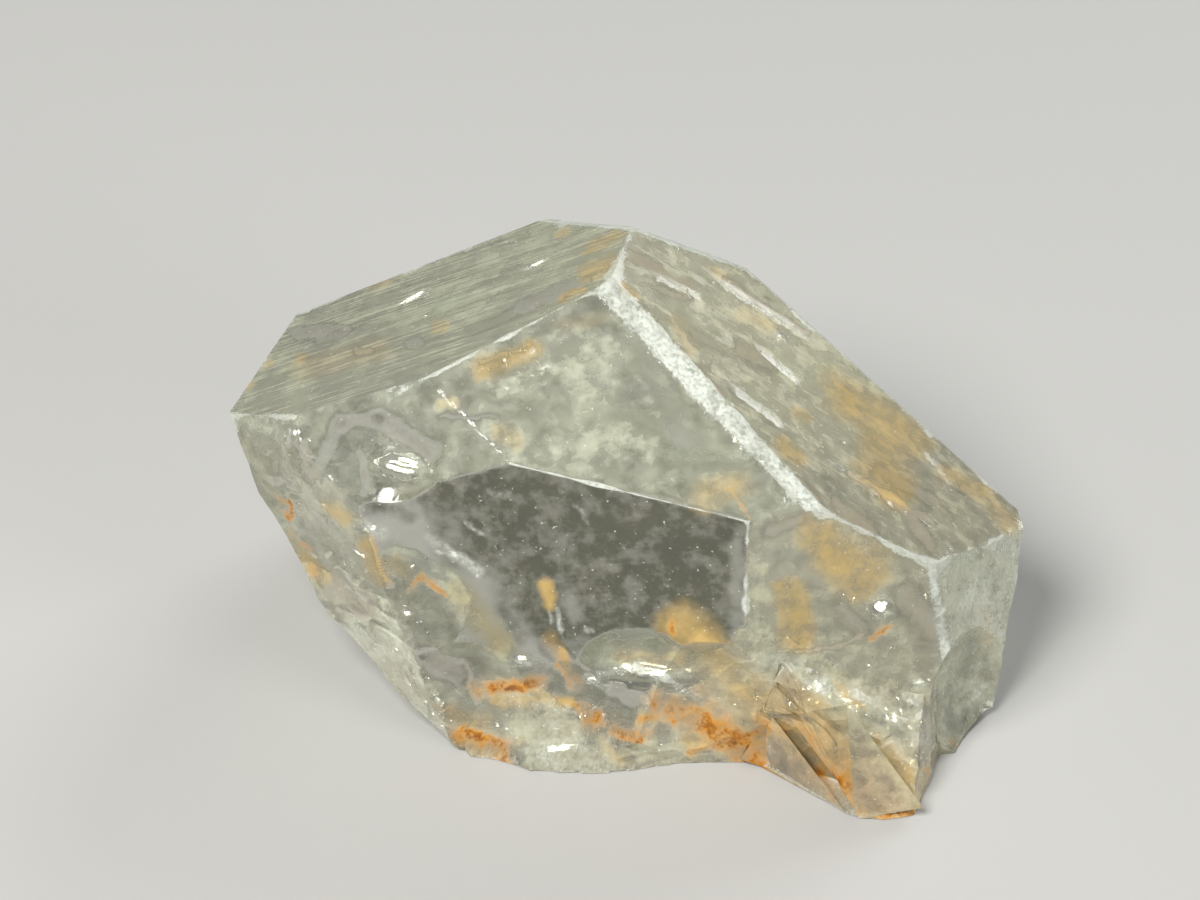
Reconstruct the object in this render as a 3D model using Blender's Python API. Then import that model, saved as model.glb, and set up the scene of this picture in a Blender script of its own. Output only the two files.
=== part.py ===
"""Goshenite crystal: one loose, partly broken beryl crystal lying on its flattest side.

Model frame: metres, +Z up, origin at the centre of the base, +X along the crystal.
The left end is at -X, and the clear front faces look towards -Y.
Directions are given as (azimuth, elevation) in degrees: azimuth 0 looks towards -Y,
90 towards +X, and elevation 90 is straight up.
"""
import bpy
import bmesh
import math
import random
from mathutils import Matrix, Vector

# Driving dimensions
MM = 0.001
CRYSTAL_LENGTH = 28.7 * MM    # along X, used for the starting block
HEART_SHIFT = -0.12 * MM      # along X and above the base: the point inside the crystal
HEART_HEIGHT = 7.0 * MM       # from which the faces are measured
FACET_SIZE = 0.55 * MM        # size of the small facets inside a conchoidal scoop
GROWTH_INSET = 0.15 * MM      # how far toe and skirt stay inside the outer faces of the body
CHIP_SEED = 11
STONE_COLOUR = (0.80, 0.79, 0.70, 1.0)
BERYL_IOR = 1.58

# Faces that every part of the crystal shares: azimuth, elevation, distance from the heart in mm
OUTER_FACES = {
    "pyramid_left": (-116.0, 65.0, 8.53),
    "pyramid_right": (88.0, 56.0, 7.12),
    "pyramid_back": (159.0, 45.0, 9.45),
    "back_left": (-170.0, 10.0, 10.10),
    "back": (176.0, 3.0, 8.70),
    "back_right": (138.0, 20.0, 9.42),
    "left_tip_back": (-106.0, -15.0, 12.83),
    "left_tip_front": (-47.0, 16.0, 10.47),
    "left_end_upper": (-82.0, -15.5, 12.52),
    "left_end_middle": (-85.5, -28.0, 11.48),
    "left_end_lower": (-76.0, -49.5, 10.08),
    "right_end_front": (58.0, 12.0, 12.00),
    "right_end": (98.0, -15.0, 14.10),
    "right_end_under": (76.0, -68.5, 11.29),
    "base": (0.0, -90.0, 7.00),
}

# Faces at the front of the main body
BODY_FACES = {
    "pyramid_front": (0.0, 52.0, 6.58),
    "worn_band": (37.0, 62.5, 7.32),
    "window": (-10.0, 8.0, 5.58),
    "prism_right": (8.5, 8.0, 6.94),
    "shoulder_left": (-22.0, 31.5, 7.33),
    "fracture_left": (-41.5, -4.0, 8.90),
    "broken_front": (3.0, -2.0, 6.90),
}

# Rough foot that stands out at the lower right
TOE_FACES = {
    "toe_left": (-40.0, 8.0, 1.17),
    "toe_front": (8.0, 35.0, 4.81),
    "toe_right": (72.0, 12.0, 11.04),
    "toe_top": (28.0, 48.0, 4.02),
}

# Low broken ledge along the front of the base
SKIRT_FACES = {
    "skirt_front": (-4.0, 20.0, 4.38),
    "skirt_top": (-4.0, 48.0, 1.11),
    "skirt_left": (-51.5, 12.0, 6.59),
    "skirt_right": (11.5, 18.0, 4.32),
}
ALL_FACES = {**OUTER_FACES, **BODY_FACES, **TOE_FACES, **SKIRT_FACES}

# Worn edges: the two faces that meet there, and the width of the flat worn on them in mm
WORN_OUTER_EDGES = [
    ("pyramid_left", "pyramid_right", 0.45),
    ("pyramid_left", "pyramid_back", 0.70),
    ("pyramid_left", "back_left", 0.80),
    ("pyramid_left", "left_tip_back", 0.60),
    ("pyramid_left", "left_tip_front", 0.25),
    ("pyramid_right", "pyramid_back", 0.70),
    ("pyramid_right", "back_right", 0.90),
    ("pyramid_right", "right_end", 0.50),
    ("pyramid_right", "right_end_front", 0.35),
    ("right_end", "right_end_front", 0.50),
    ("back", "back_right", 0.60),
    ("back", "base", 0.50),
    ("left_end_upper", "left_tip_front", 0.40),
]
WORN_FRONT_EDGES = [
    ("pyramid_left", "pyramid_front", 0.22),
    ("window", "prism_right", 0.30),
    ("prism_right", "right_end_front", 0.60),
    ("shoulder_left", "fracture_left", 0.25),
    ("window", "fracture_left", 0.20),
]

# Conchoidal scoops: face, mm right and mm up from the foot of the heart's perpendicular,
# radius of the rim and depth in mm
SCOOPS = [
    ("window", 1.5, -4.3, 2.40, 0.50),
    ("window", -6.6, -1.8, 2.10, 0.24),
    ("window", -4.4, -5.2, 2.00, 0.30),
    ("shoulder_left", -6.0, 0.1, 1.45, 0.36),
    ("fracture_left", -7.7, 0.0, 3.00, 0.42),
    ("fracture_left", -5.7, -4.2, 1.90, 0.26),
    ("fracture_left", -9.1, 3.4, 1.60, 0.22),
    ("right_end_front", 1.4, -6.7, 1.60, 0.16),
    ("right_end", -3.6, -1.1, 2.40, 0.32),
    ("right_end", 1.8, 0.2, 1.40, 0.15),
    ("toe_front", 7.8, -8.3, 1.50, 0.16),
    ("toe_front", 8.3, -10.8, 0.90, 0.12),
    ("toe_left", 9.3, -4.8, 1.50, 0.20),
    ("toe_left", 11.0, -6.8, 0.90, 0.14),
    ("toe_right", -2.0, -7.6, 1.20, 0.18),
    ("skirt_front", -4.7, -8.6, 0.55, 0.22),
    ("skirt_front", 0.3, -8.7, 0.50, 0.20),
    ("skirt_front", -2.2, -6.4, 1.20, 0.14),
    ("skirt_front", 2.4, -6.8, 1.30, 0.20),
    ("broken_front", 3.9, -5.2, 1.20, 0.24),
    ("left_tip_back", -3.0, 1.0, 1.50, 0.18),
    ("left_end_middle", -3.0, 3.0, 1.60, 0.20),
    ("left_end_lower", -4.0, 3.0, 1.50, 0.20),
    ("pyramid_back", 4.6, -1.9, 1.80, 0.18),
    ("back", -6.8, 0.6, 2.60, 0.35),
    ("back", 0.6, -5.2, 2.40, 0.40),
    ("back", 8.4, 1.2, 1.80, 0.25),
    ("back_left", 4.0, -3.8, 2.20, 0.30),
    ("back_left", 9.6, 1.0, 1.60, 0.20),
    ("back_right", 1.8, -4.0, 2.40, 0.32),
    ("back_right", -7.4, -7.4, 1.80, 0.25),
]

# Growth ledges: face, mm right and mm up from the same foot, angle in the face in degrees
# from its right-hand direction, then length, width and depth in mm
LEDGES = [
    ("pyramid_left", -1.5, -5.5, 113.0, 3.2, 0.70, 0.09),
    ("pyramid_left", -2.7, -2.6, 112.0, 4.4, 0.60, 0.08),
    ("pyramid_left", -0.1, -2.2, 115.0, 3.4, 0.60, 0.08),
    ("pyramid_left", 0.2, 1.0, 113.0, 3.1, 0.50, 0.08),
    ("pyramid_left", 0.6, -9.0, 100.0, 2.7, 0.60, 0.09),
    ("pyramid_right", 4.4, -0.9, -94.0, 5.4, 0.70, 0.10),
    ("pyramid_right", 2.8, 2.9, -80.0, 2.5, 0.50, 0.08),
    ("pyramid_right", 1.6, -1.7, -112.0, 2.4, 0.50, 0.08),
    ("pyramid_right", -1.5, -0.7, -102.0, 2.6, 0.60, 0.10),
    ("pyramid_right", -2.5, -6.2, -94.0, 4.8, 0.60, 0.10),
    ("pyramid_right", 0.9, -8.6, -135.0, 2.0, 0.50, 0.08),
    ("pyramid_front", -3.8, 2.8, 24.0, 2.6, 0.40, 0.06),
    ("pyramid_front", -4.1, 3.5, 24.0, 2.0, 0.40, 0.06),
]

# Small chips along worn edges: the two faces, mm from and to along their edge, and how many
CHIPPED_EDGES = [
    ("pyramid_front", "worn_band", -6.0, 7.0, 6),
    ("pyramid_right", "worn_band", -5.0, 8.0, 5),
    ("pyramid_right", "back_right", -7.0, 6.0, 6),
    ("pyramid_left", "back_left", -6.0, 5.0, 4),
]
CHIP_RADIUS = (0.35, 0.70)
CHIP_DEPTH = (0.08, 0.16)


def clear_objects():
    for thing in list(bpy.data.objects):
        bpy.data.objects.remove(thing, do_unlink=True)


def heart():
    return Vector((HEART_SHIFT, 0.0, HEART_HEIGHT))


def direction(azimuth, elevation):
    """Unit vector of a compass azimuth and an elevation."""
    turn = math.radians(azimuth)
    rise = math.radians(elevation)
    return Vector((math.sin(turn) * math.cos(rise), -math.cos(turn) * math.cos(rise), math.sin(rise)))


def face_plane(name):
    """Normal of a named face, and its distance from the heart in metres."""
    azimuth, elevation, distance = ALL_FACES[name]
    return direction(azimuth, elevation), distance * MM


def worn_plane(first, second, width):
    """Plane that wears the edge of two faces down to a flat of the given width."""
    normal_1, distance_1 = face_plane(first)
    normal_2, distance_2 = face_plane(second)
    bisector = normal_1 + normal_2
    half_angle = normal_1.angle(normal_2) / 2.0
    edge_distance = (distance_1 + distance_2) / bisector.length
    return bisector.normalized(), edge_distance - 0.5 * width * MM * math.tan(half_angle)


def face_frame(normal):
    """Axes in a face, to the right and up as seen from outside."""
    right = Vector((0.0, 0.0, 1.0)).cross(normal).normalized()
    return right, normal.cross(right)


def add_object(name, mesh_builder):
    """Object from a new bmesh, with its mesh named after it."""
    mesh = bpy.data.meshes.new(name)
    mesh_builder.to_mesh(mesh)
    mesh_builder.free()
    thing = bpy.data.objects.new(name, mesh)
    bpy.context.scene.collection.objects.link(thing)
    return thing


def cut_block(name, planes):
    """Block with everything outside the planes sawn off, one plane at a time."""
    shape = bmesh.new()
    bmesh.ops.create_cube(shape, size=2.0 * CRYSTAL_LENGTH)
    for normal, distance in planes:
        everything = shape.verts[:] + shape.edges[:] + shape.faces[:]
        result = bmesh.ops.bisect_plane(
            shape, geom=everything, dist=0.002 * MM, plane_co=heart() + normal * distance,
            plane_no=normal, clear_outer=True)
        rim = [item for item in result["geom_cut"] if isinstance(item, bmesh.types.BMEdge)]
        if rim:
            bmesh.ops.contextual_create(shape, geom=rim)
    for corner in shape.verts:
        if abs(corner.co.z) < 0.001 * MM:
            corner.co.z = 0.0
    bmesh.ops.recalc_face_normals(shape, faces=shape.faces)
    return add_object(name, shape)


def make_cutter(thing):
    thing.hide_render = True
    thing.display_type = "WIRE"
    return thing


def add_boolean(target, cutter, operation):
    step = target.modifiers.new(cutter.name, "BOOLEAN")
    step.operation = operation
    step.solver = "EXACT"
    step.object = cutter


def bake_modifiers(thing):
    """Turn the modifiers' result into the object's own mesh."""
    graph = bpy.context.evaluated_depsgraph_get()
    result = bpy.data.meshes.new_from_object(thing.evaluated_get(graph))
    thing.modifiers.clear()
    thing.data = result


def scoop_cutter(name, normal, distance, right_mm, up_mm, radius, depth):
    """Sphere that leaves a round hollow of the given rim radius and depth in a face."""
    right, up = face_frame(normal)
    foot = heart() + normal * distance + right * right_mm * MM + up * up_mm * MM
    sphere_radius = (radius ** 2 + depth ** 2) / (2.0 * depth) * MM
    rings = max(2, min(5, round(math.log2(sphere_radius / FACET_SIZE)) + 1))
    shape = bmesh.new()
    place = Matrix.Translation(foot + normal * (sphere_radius - depth * MM))
    bmesh.ops.create_icosphere(shape, subdivisions=rings, radius=sphere_radius, matrix=place)
    return make_cutter(add_object(name, shape))


def ledge_cutter(name, face, right_mm, up_mm, angle, length, width, depth):
    """Long thin wedge, sunk to its full depth on one side and to nothing on the other."""
    normal, distance = face_plane(face)
    right, up = face_frame(normal)
    middle = heart() + normal * distance + right * right_mm * MM + up * up_mm * MM
    along = right * math.cos(math.radians(angle)) + up * math.sin(math.radians(angle))
    shape = bmesh.new()
    bmesh.ops.create_cube(shape, size=1.0)
    tilt = math.atan2(depth, width)
    frame = Matrix((along, normal.cross(along), normal)).transposed().to_4x4()
    size = Matrix.Diagonal((length * MM, width * MM / math.cos(tilt), 2.0 * MM, 1.0))
    lift = Matrix.Translation((0.0, 0.0, (1.0 - 0.5 * depth * math.cos(tilt)) * MM))
    turn = Matrix.Rotation(tilt, 4, "X")
    shape.transform(Matrix.Translation(middle) @ frame @ turn @ lift @ size)
    return make_cutter(add_object(name, shape))


def edge_point(first, second, along_mm):
    """Point on the line where two faces meet, measured from its nearest point to the heart."""
    normal_1, distance_1 = face_plane(first)
    normal_2, distance_2 = face_plane(second)
    line = normal_1.cross(normal_2).normalized()
    rows = Matrix((normal_1, normal_2, line))
    offset = rows.inverted() @ Vector((distance_1, distance_2, along_mm * MM))
    return heart() + offset


def chip_cutters():
    """Small spheres sunk into the worn edges at seeded places."""
    dice = random.Random(CHIP_SEED)
    cutters = []
    for first, second, start, end, count in CHIPPED_EDGES:
        outward = (face_plane(first)[0] + face_plane(second)[0]).normalized()
        for number in range(count):
            step = (number + dice.uniform(0.2, 0.8)) / count
            radius = dice.uniform(*CHIP_RADIUS) * MM
            depth = dice.uniform(*CHIP_DEPTH) * MM
            spot = edge_point(first, second, start + (end - start) * step)
            shape = bmesh.new()
            place = Matrix.Translation(spot + outward * (radius - depth))
            bmesh.ops.create_icosphere(shape, subdivisions=2, radius=radius, matrix=place)
            cutters.append(make_cutter(add_object(f"chip_{len(cutters)}", shape)))
    return cutters


def crystal_material():
    """Clear, faintly warm beryl."""
    material = bpy.data.materials.new("goshenite")
    material.use_nodes = True
    shader = material.node_tree.nodes["Principled BSDF"]
    shader.inputs["Base Color"].default_value = STONE_COLOUR
    shader.inputs["Roughness"].default_value = 0.25
    shader.inputs["Metallic"].default_value = 0.0
    shader.inputs["IOR"].default_value = BERYL_IOR
    shader.inputs["Transmission Weight"].default_value = 1.0
    return material


def build_rough_crystal():
    """Body, toe and skirt sawn from blocks and grown together."""
    base = face_plane("base")
    sides = [face_plane(name) for name in OUTER_FACES if name != "base"]
    sides += [worn_plane(*edge) for edge in WORN_OUTER_EDGES]
    front = [face_plane(name) for name in BODY_FACES]
    front += [worn_plane(*edge) for edge in WORN_FRONT_EDGES]
    body = cut_block("goshenite_crystal", [base] + sides + front)
    inset_sides = [(normal, distance - GROWTH_INSET) for normal, distance in sides]
    toe = cut_block("toe", [base] + inset_sides + [face_plane(name) for name in TOE_FACES])
    skirt = cut_block("skirt", [base] + inset_sides + [face_plane(name) for name in SKIRT_FACES])
    make_cutter(toe)
    make_cutter(skirt)
    add_boolean(body, toe, "UNION")
    add_boolean(body, skirt, "UNION")
    bake_modifiers(body)
    return body


def build_crystal():
    crystal = build_rough_crystal()
    cutters = []
    for number, (face, right_mm, up_mm, radius, depth) in enumerate(SCOOPS):
        normal, distance = face_plane(face)
        cutters.append(scoop_cutter(f"scoop_{number}", normal, distance, right_mm, up_mm, radius, depth))
    for number, ledge in enumerate(LEDGES):
        cutters.append(ledge_cutter(f"ledge_{number}", *ledge))
    cutters += chip_cutters()
    for cutter in cutters:
        add_boolean(crystal, cutter, "DIFFERENCE")
    bake_modifiers(crystal)
    crystal.data.materials.clear()
    crystal.data.materials.append(crystal_material())
    return crystal


clear_objects()
build_crystal()
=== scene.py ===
"""Goshenite crystal: a loose, partly broken clear beryl crystal lying on a pale table."""

import math
import random
from collections import namedtuple

import bpy
import numpy as np
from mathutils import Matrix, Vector


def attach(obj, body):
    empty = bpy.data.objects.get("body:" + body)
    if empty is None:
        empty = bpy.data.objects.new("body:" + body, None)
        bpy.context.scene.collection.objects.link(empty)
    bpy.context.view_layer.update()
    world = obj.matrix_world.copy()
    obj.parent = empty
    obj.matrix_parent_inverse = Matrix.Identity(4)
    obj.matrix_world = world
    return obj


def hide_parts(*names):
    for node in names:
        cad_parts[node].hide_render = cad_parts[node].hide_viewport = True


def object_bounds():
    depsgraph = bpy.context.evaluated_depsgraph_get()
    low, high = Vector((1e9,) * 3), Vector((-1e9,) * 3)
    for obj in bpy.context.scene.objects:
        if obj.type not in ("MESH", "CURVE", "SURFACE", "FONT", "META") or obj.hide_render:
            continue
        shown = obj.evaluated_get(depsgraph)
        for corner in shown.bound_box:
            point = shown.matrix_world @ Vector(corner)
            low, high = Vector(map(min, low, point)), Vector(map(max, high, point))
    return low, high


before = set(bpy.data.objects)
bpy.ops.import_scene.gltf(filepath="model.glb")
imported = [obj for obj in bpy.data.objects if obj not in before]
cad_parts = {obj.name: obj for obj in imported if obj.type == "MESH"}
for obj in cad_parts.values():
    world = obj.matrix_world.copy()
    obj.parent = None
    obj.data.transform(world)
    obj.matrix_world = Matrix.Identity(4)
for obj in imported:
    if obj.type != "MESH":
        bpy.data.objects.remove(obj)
cad_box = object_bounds()
MM = 0.001

# The camera looks down on the clear front faces of the crystal, as the photograph does.
# It is a long lens, close to the stone, so the edges keep almost true parallels.
CAMERA_RISE = 38.0            # degrees above the table
CAMERA_DISTANCE = 165.0       # mm
CAMERA_AIM = np.array((-1.02, -1.0, 10.0))   # mm, the point at the middle of the picture
CAMERA_RANGE = (1.0, 5000.0)  # mm, the nearest and the farthest that it sees
LENS = 140.0                  # mm, before a sensor 36 mm wide
SENSOR = 36.0
PHOTO_SIZE = (1200.0, 900.0)  # pixels


def camera_axes():
    """Right, up and back vectors of the camera, which stands at azimuth 0, so right is +X."""
    rise = np.radians(CAMERA_RISE)
    back = np.array((0.0, -np.cos(rise), np.sin(rise)))
    right = np.array((1.0, 0.0, 0.0))
    return right, np.cross(back, right), back


RIGHT, UP, BACK = camera_axes()
CAMERA_PLACE = CAMERA_AIM + BACK * CAMERA_DISTANCE


def add_camera():
    """Camera on a line from the aim point, back and up by CAMERA_RISE."""
    data = bpy.data.cameras.new("camera")
    data.lens = LENS
    data.sensor_width = SENSOR
    data.clip_start, data.clip_end = (limit * MM for limit in CAMERA_RANGE)
    camera = bpy.data.objects.new("camera", data)
    bpy.context.scene.collection.objects.link(camera)
    camera.location = CAMERA_PLACE * MM
    camera.rotation_euler = Vector(BACK).to_track_quat("Z", "Y").to_euler()
    bpy.context.scene.camera = camera


def photo_place(points):
    """Pixel of the photograph where each point, in mm, is seen: its offsets to the right and
    up from the camera's axis, over its distance, times the lens's scale."""
    away = points - CAMERA_PLACE
    scale = LENS / SENSOR * PHOTO_SIZE[0] / -(away @ BACK)
    return np.stack((0.5 * PHOTO_SIZE[0] + away @ RIGHT * scale,
                     0.5 * PHOTO_SIZE[1] - away @ UP * scale), axis=1)


def sight_line(pixel):
    """Start, in mm, and unit direction of the ray that the camera sees at a pixel."""
    across, down = pixel[0] - 0.5 * PHOTO_SIZE[0], pixel[1] - 0.5 * PHOTO_SIZE[1]
    ray = (RIGHT * across - UP * down) * (SENSOR / LENS / PHOTO_SIZE[0]) - BACK
    return CAMERA_PLACE, ray / np.linalg.norm(ray)


add_camera()

# The crystal itself: one piece of beryl, with flat growth faces above and broken faces at
# both ends and along the foot. Its edges are worn to frosted flats. It is made as one closed
# surface around a heart point, where every face is a plane at its own distance.
HEART = np.array((-0.12, 0.0, 7.0))   # mm
GRID = (124, 85, 69)                  # cells along x, y and z of the box that carries the grid
REACH = np.array((14.3, 10.5, 9.0))   # half sizes that spread the grid evenly over the stone
LEAN = np.array((0.02, -0.24, 0.14))  # makes the grid finer on the front and the top
TURN = 0.0006         # radians, how far the aside directions turn that give a point's normal
EDGE_HOLD = 0.003     # how firmly a cell's own point is held at the cell's middle
CELL_LIMIT = 0.7      # how far it may move, as a share of the cell's diagonal
GROWTH_INSET = 0.15   # mm, how far the toe and the foot lie inside the outer faces
LEDGE_SHARE = 0.55    # the growth ledges are this much shallower than in the plain solid
CHIP_SEED = 11
FAR = 1e9             # mm, farther than anything

# Faces: azimuth, elevation, distance from the heart in mm
OUTER_FACES = {
    "pyramid_left": (-116.0, 65.0, 8.53),
    "pyramid_right": (88.0, 56.0, 7.12),
    "pyramid_back": (159.0, 45.0, 9.45),
    "back_left": (-170.0, 10.0, 10.10),
    "back": (176.0, 3.0, 8.70),
    "back_right": (138.0, 20.0, 9.42),
    "left_tip_back": (-106.0, -15.0, 12.83),
    "left_tip_front": (-47.0, 16.0, 10.47),
    "left_end_upper": (-82.0, -15.5, 12.52),
    "left_end_middle": (-85.5, -28.0, 11.48),
    "left_end_lower": (-76.0, -49.5, 10.08),
    "right_end_front": (58.0, 12.0, 12.00),
    "right_end": (98.0, -15.0, 14.10),
    "right_end_under": (76.0, -68.5, 11.29),
    "base": (0.0, -90.0, 7.00),
}
BODY_FACES = {
    "pyramid_front": (0.0, 52.0, 6.58),
    "worn_band": (37.0, 62.5, 7.32),
    "window": (-10.0, 8.0, 5.58),
    "prism_right": (8.5, 8.0, 6.94),
    "shoulder_left": (-22.0, 31.5, 7.33),
    "fracture_left": (-41.5, -4.0, 8.90),
    "broken_front": (3.0, -2.0, 6.90),
}
TOE_FACES = {
    "toe_left": (-40.0, 8.0, 1.17),
    "toe_front": (8.0, 35.0, 4.81),
    "toe_right": (72.0, 12.0, 11.04),
    "toe_top": (28.0, 48.0, 4.02),
}
SKIRT_FACES = {
    "skirt_front": (-4.0, 20.0, 4.38),
    "skirt_top": (-4.0, 48.0, 1.11),
    "skirt_left": (-51.5, 12.0, 6.59),
    "skirt_right": (11.5, 18.0, 4.32),
}
ALL_FACES = {**OUTER_FACES, **BODY_FACES, **TOE_FACES, **SKIRT_FACES}

# Worn edges: the two faces, and the width of the flat worn on their edge in mm
WORN_OUTER_EDGES = [
    ("pyramid_left", "pyramid_right", 0.45),
    ("pyramid_left", "pyramid_back", 0.70),
    ("pyramid_left", "back_left", 0.80),
    ("pyramid_left", "left_tip_back", 0.60),
    ("pyramid_left", "left_tip_front", 0.25),
    ("pyramid_right", "pyramid_back", 0.70),
    ("pyramid_right", "back_right", 0.90),
    ("pyramid_right", "right_end", 0.50),
    ("pyramid_right", "right_end_front", 0.35),
    ("right_end", "right_end_front", 0.50),
    ("back", "back_right", 0.60),
    ("back", "base", 0.50),
    ("left_end_upper", "left_tip_front", 0.40),
]
WORN_FRONT_EDGES = [
    ("pyramid_left", "pyramid_front", 0.22),
    ("window", "prism_right", 0.30),
    ("prism_right", "right_end_front", 0.60),
    ("shoulder_left", "fracture_left", 0.25),
    ("window", "fracture_left", 0.20),
]

# Conchoidal scoops of each face: mm right and up from the foot of the heart's perpendicular,
# radius of the rim and depth in mm
SCOOPS = {
    "window": [(1.5, -4.3, 2.40, 0.50), (-6.6, -1.8, 2.10, 0.24), (-4.4, -5.2, 2.00, 0.30)],
    "shoulder_left": [(-6.0, 0.1, 1.45, 0.36)],
    "fracture_left": [(-7.7, 0.0, 3.00, 0.42), (-5.7, -4.2, 1.90, 0.26), (-9.1, 3.4, 1.60, 0.22)],
    "right_end_front": [(1.4, -6.7, 1.60, 0.16)],
    "right_end": [(-3.6, -1.1, 2.40, 0.32), (1.8, 0.2, 1.40, 0.15)],
    "toe_front": [(7.8, -8.3, 1.50, 0.16), (8.3, -10.8, 0.90, 0.12)],
    "toe_left": [(9.3, -4.8, 1.50, 0.20), (11.0, -6.8, 0.90, 0.14)],
    "toe_right": [(-2.0, -7.6, 1.20, 0.18)],
    "skirt_front": [
        (-4.7, -8.6, 0.55, 0.22), (0.3, -8.7, 0.50, 0.20), (-2.2, -6.4, 1.20, 0.14),
        (2.4, -6.8, 1.30, 0.20),
    ],
    "broken_front": [(3.9, -5.2, 1.20, 0.24)],
    "left_tip_back": [(-3.0, 1.0, 1.50, 0.18)],
    "left_end_middle": [(-3.0, 3.0, 1.60, 0.20)],
    "left_end_lower": [(-4.0, 3.0, 1.50, 0.20)],
    "pyramid_back": [(4.6, -1.9, 1.80, 0.18)],
    "back": [(-6.8, 0.6, 2.60, 0.35), (0.6, -5.2, 2.40, 0.40), (8.4, 1.2, 1.80, 0.25)],
    "back_left": [(4.0, -3.8, 2.20, 0.30), (9.6, 1.0, 1.60, 0.20)],
    "back_right": [(1.8, -4.0, 2.40, 0.32), (-7.4, -7.4, 1.80, 0.25)],
}

# Growth ledges of each face: mm right and up, angle in the face in degrees, and length, width
# and depth in mm
LEDGES = {
    "pyramid_left": [
        (-1.5, -5.5, 113.0, 3.2, 0.70, 0.09), (-2.7, -2.6, 112.0, 4.4, 0.60, 0.08),
        (-0.1, -2.2, 115.0, 3.4, 0.60, 0.08), (0.2, 1.0, 113.0, 3.1, 0.50, 0.08),
        (0.6, -9.0, 100.0, 2.7, 0.60, 0.09),
    ],
    "pyramid_right": [
        (4.4, -0.9, -94.0, 5.4, 0.70, 0.10), (2.8, 2.9, -80.0, 2.5, 0.50, 0.08),
        (1.6, -1.7, -112.0, 2.4, 0.50, 0.08), (-1.5, -0.7, -102.0, 2.6, 0.60, 0.10),
        (-2.5, -6.2, -94.0, 4.8, 0.60, 0.10), (0.9, -8.6, -135.0, 2.0, 0.50, 0.08),
    ],
    "pyramid_front": [(-3.8, 2.8, 24.0, 2.6, 0.40, 0.06), (-4.1, 3.5, 24.0, 2.0, 0.40, 0.06)],
}

# Small chips along worn edges: the two faces, mm from and to along their edge, how many
CHIPPED_EDGES = [
    ("pyramid_front", "worn_band", -6.0, 7.0, 6),
    ("pyramid_right", "worn_band", -5.0, 8.0, 5),
    ("pyramid_right", "back_right", -7.0, 6.0, 6),
    ("pyramid_left", "back_left", -6.0, 5.0, 4),
]
CHIP_RADIUS = (0.35, 0.70)
CHIP_DEPTH = (0.08, 0.16)

# Finish of a face. frost, haze, rust and its last number, painted shade (a near-black tint standing in
# for the shade seen through the stone), run from 0 to 1; rough, scallop and stria are the depths in mm of
# its lumps, of its shell-shaped hollows and of its growth lines.
Finish = namedtuple("Finish", "frost haze rust rough scallop stria smoke", defaults=(0.0, 0.0, 0.0, 0.0))
HIDDEN = Finish(0.14, 0.45, 0.12, 0.05, 0.12, 0.006)
FINISHES = {
    "pyramid_left": Finish(0.12, 0.80, 0.12, 0.012, 0.0, 0.015),
    "pyramid_right": Finish(0.10, 0.66, 0.36, 0.016, 0.0, 0.004),
    "pyramid_front": Finish(0.08, 0.55, 0.08, 0.010),
    "worn_band": Finish(0.85, 0.60, 0.00, 0.030, 0.03),
    # The window is painted near black: painted shade for what is seen through it.
    "window": Finish(0.02, 0.14, 0.05, 0.008, smoke=0.95),
    "prism_right": Finish(0.10, 0.55, 0.30, 0.010),
    "shoulder_left": Finish(0.10, 0.55, 0.08, 0.020, 0.05),
    "fracture_left": Finish(0.06, 0.30, 0.25, 0.030, 0.14, 0.004),
    "left_tip_front": Finish(0.35, 0.60, 0.15, 0.030, 0.06, 0.02),
    "right_end_front": Finish(0.58, 1.00, 0.30, 0.060, 0.18, 0.002),
    "right_end": Finish(0.40, 0.85, 0.25, 0.060, 0.16, 0.01),
    "broken_front": Finish(0.25, 0.80, 0.45, 0.050, 0.22, 0.005),
    "toe_left": Finish(0.20, 0.45, 0.60, 0.080, 0.20),
    "toe_front": Finish(0.22, 0.45, 0.70, 0.100, 0.32),
    "toe_right": Finish(0.30, 0.60, 0.50, 0.080, 0.28),
    "toe_top": Finish(0.32, 0.85, 0.40, 0.060, 0.24),
    "skirt_front": Finish(0.36, 0.90, 0.45, 0.060, 0.24, 0.005),
    "skirt_top": Finish(0.32, 0.85, 0.50, 0.060, 0.22, 0.005),
    "skirt_left": Finish(0.25, 0.60, 0.50, 0.050, 0.18, 0.01),
    "skirt_right": Finish(0.25, 0.70, 0.45, 0.050, 0.18, 0.01),
    "base": Finish(0.45, 0.50, 0.30),
}
WORN = Finish(0.85, 0.60, 0.00, 0.020, 0.03)
SCOOPED = Finish(0.05, 0.35, 0.15, scallop=0.06)
CHIPPED = Finish(0.60, 0.55, 0.00, scallop=0.06)
HOLLOW_SHARE = Finish(0.5, 0.5, 0.5, 0.5, 0.5, 0.5, 0.0)   # of its own and its face's finish
BROAD_EDGE = 0.60   # mm: a worn edge this wide is a flat of its own, a narrower one is frosted only

# Other edges with a frosted strip: the two faces and the strip's width in mm
FROSTED_EDGES = [
    ("pyramid_front", "worn_band", 0.10),
    ("pyramid_right", "worn_band", 0.16),
    ("pyramid_front", "window", 0.10),
    ("pyramid_right", "prism_right", 0.30),
]

# Edges that are frosted only here and there: how much of the strip's half-width they lose
FAINT_EDGES = {
    ("window", "prism_right"): 0.9,
    ("prism_right", "right_end_front"): 0.9,
    ("window", "fracture_left"): 0.8,
    ("shoulder_left", "fracture_left"): 0.5,
}

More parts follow.
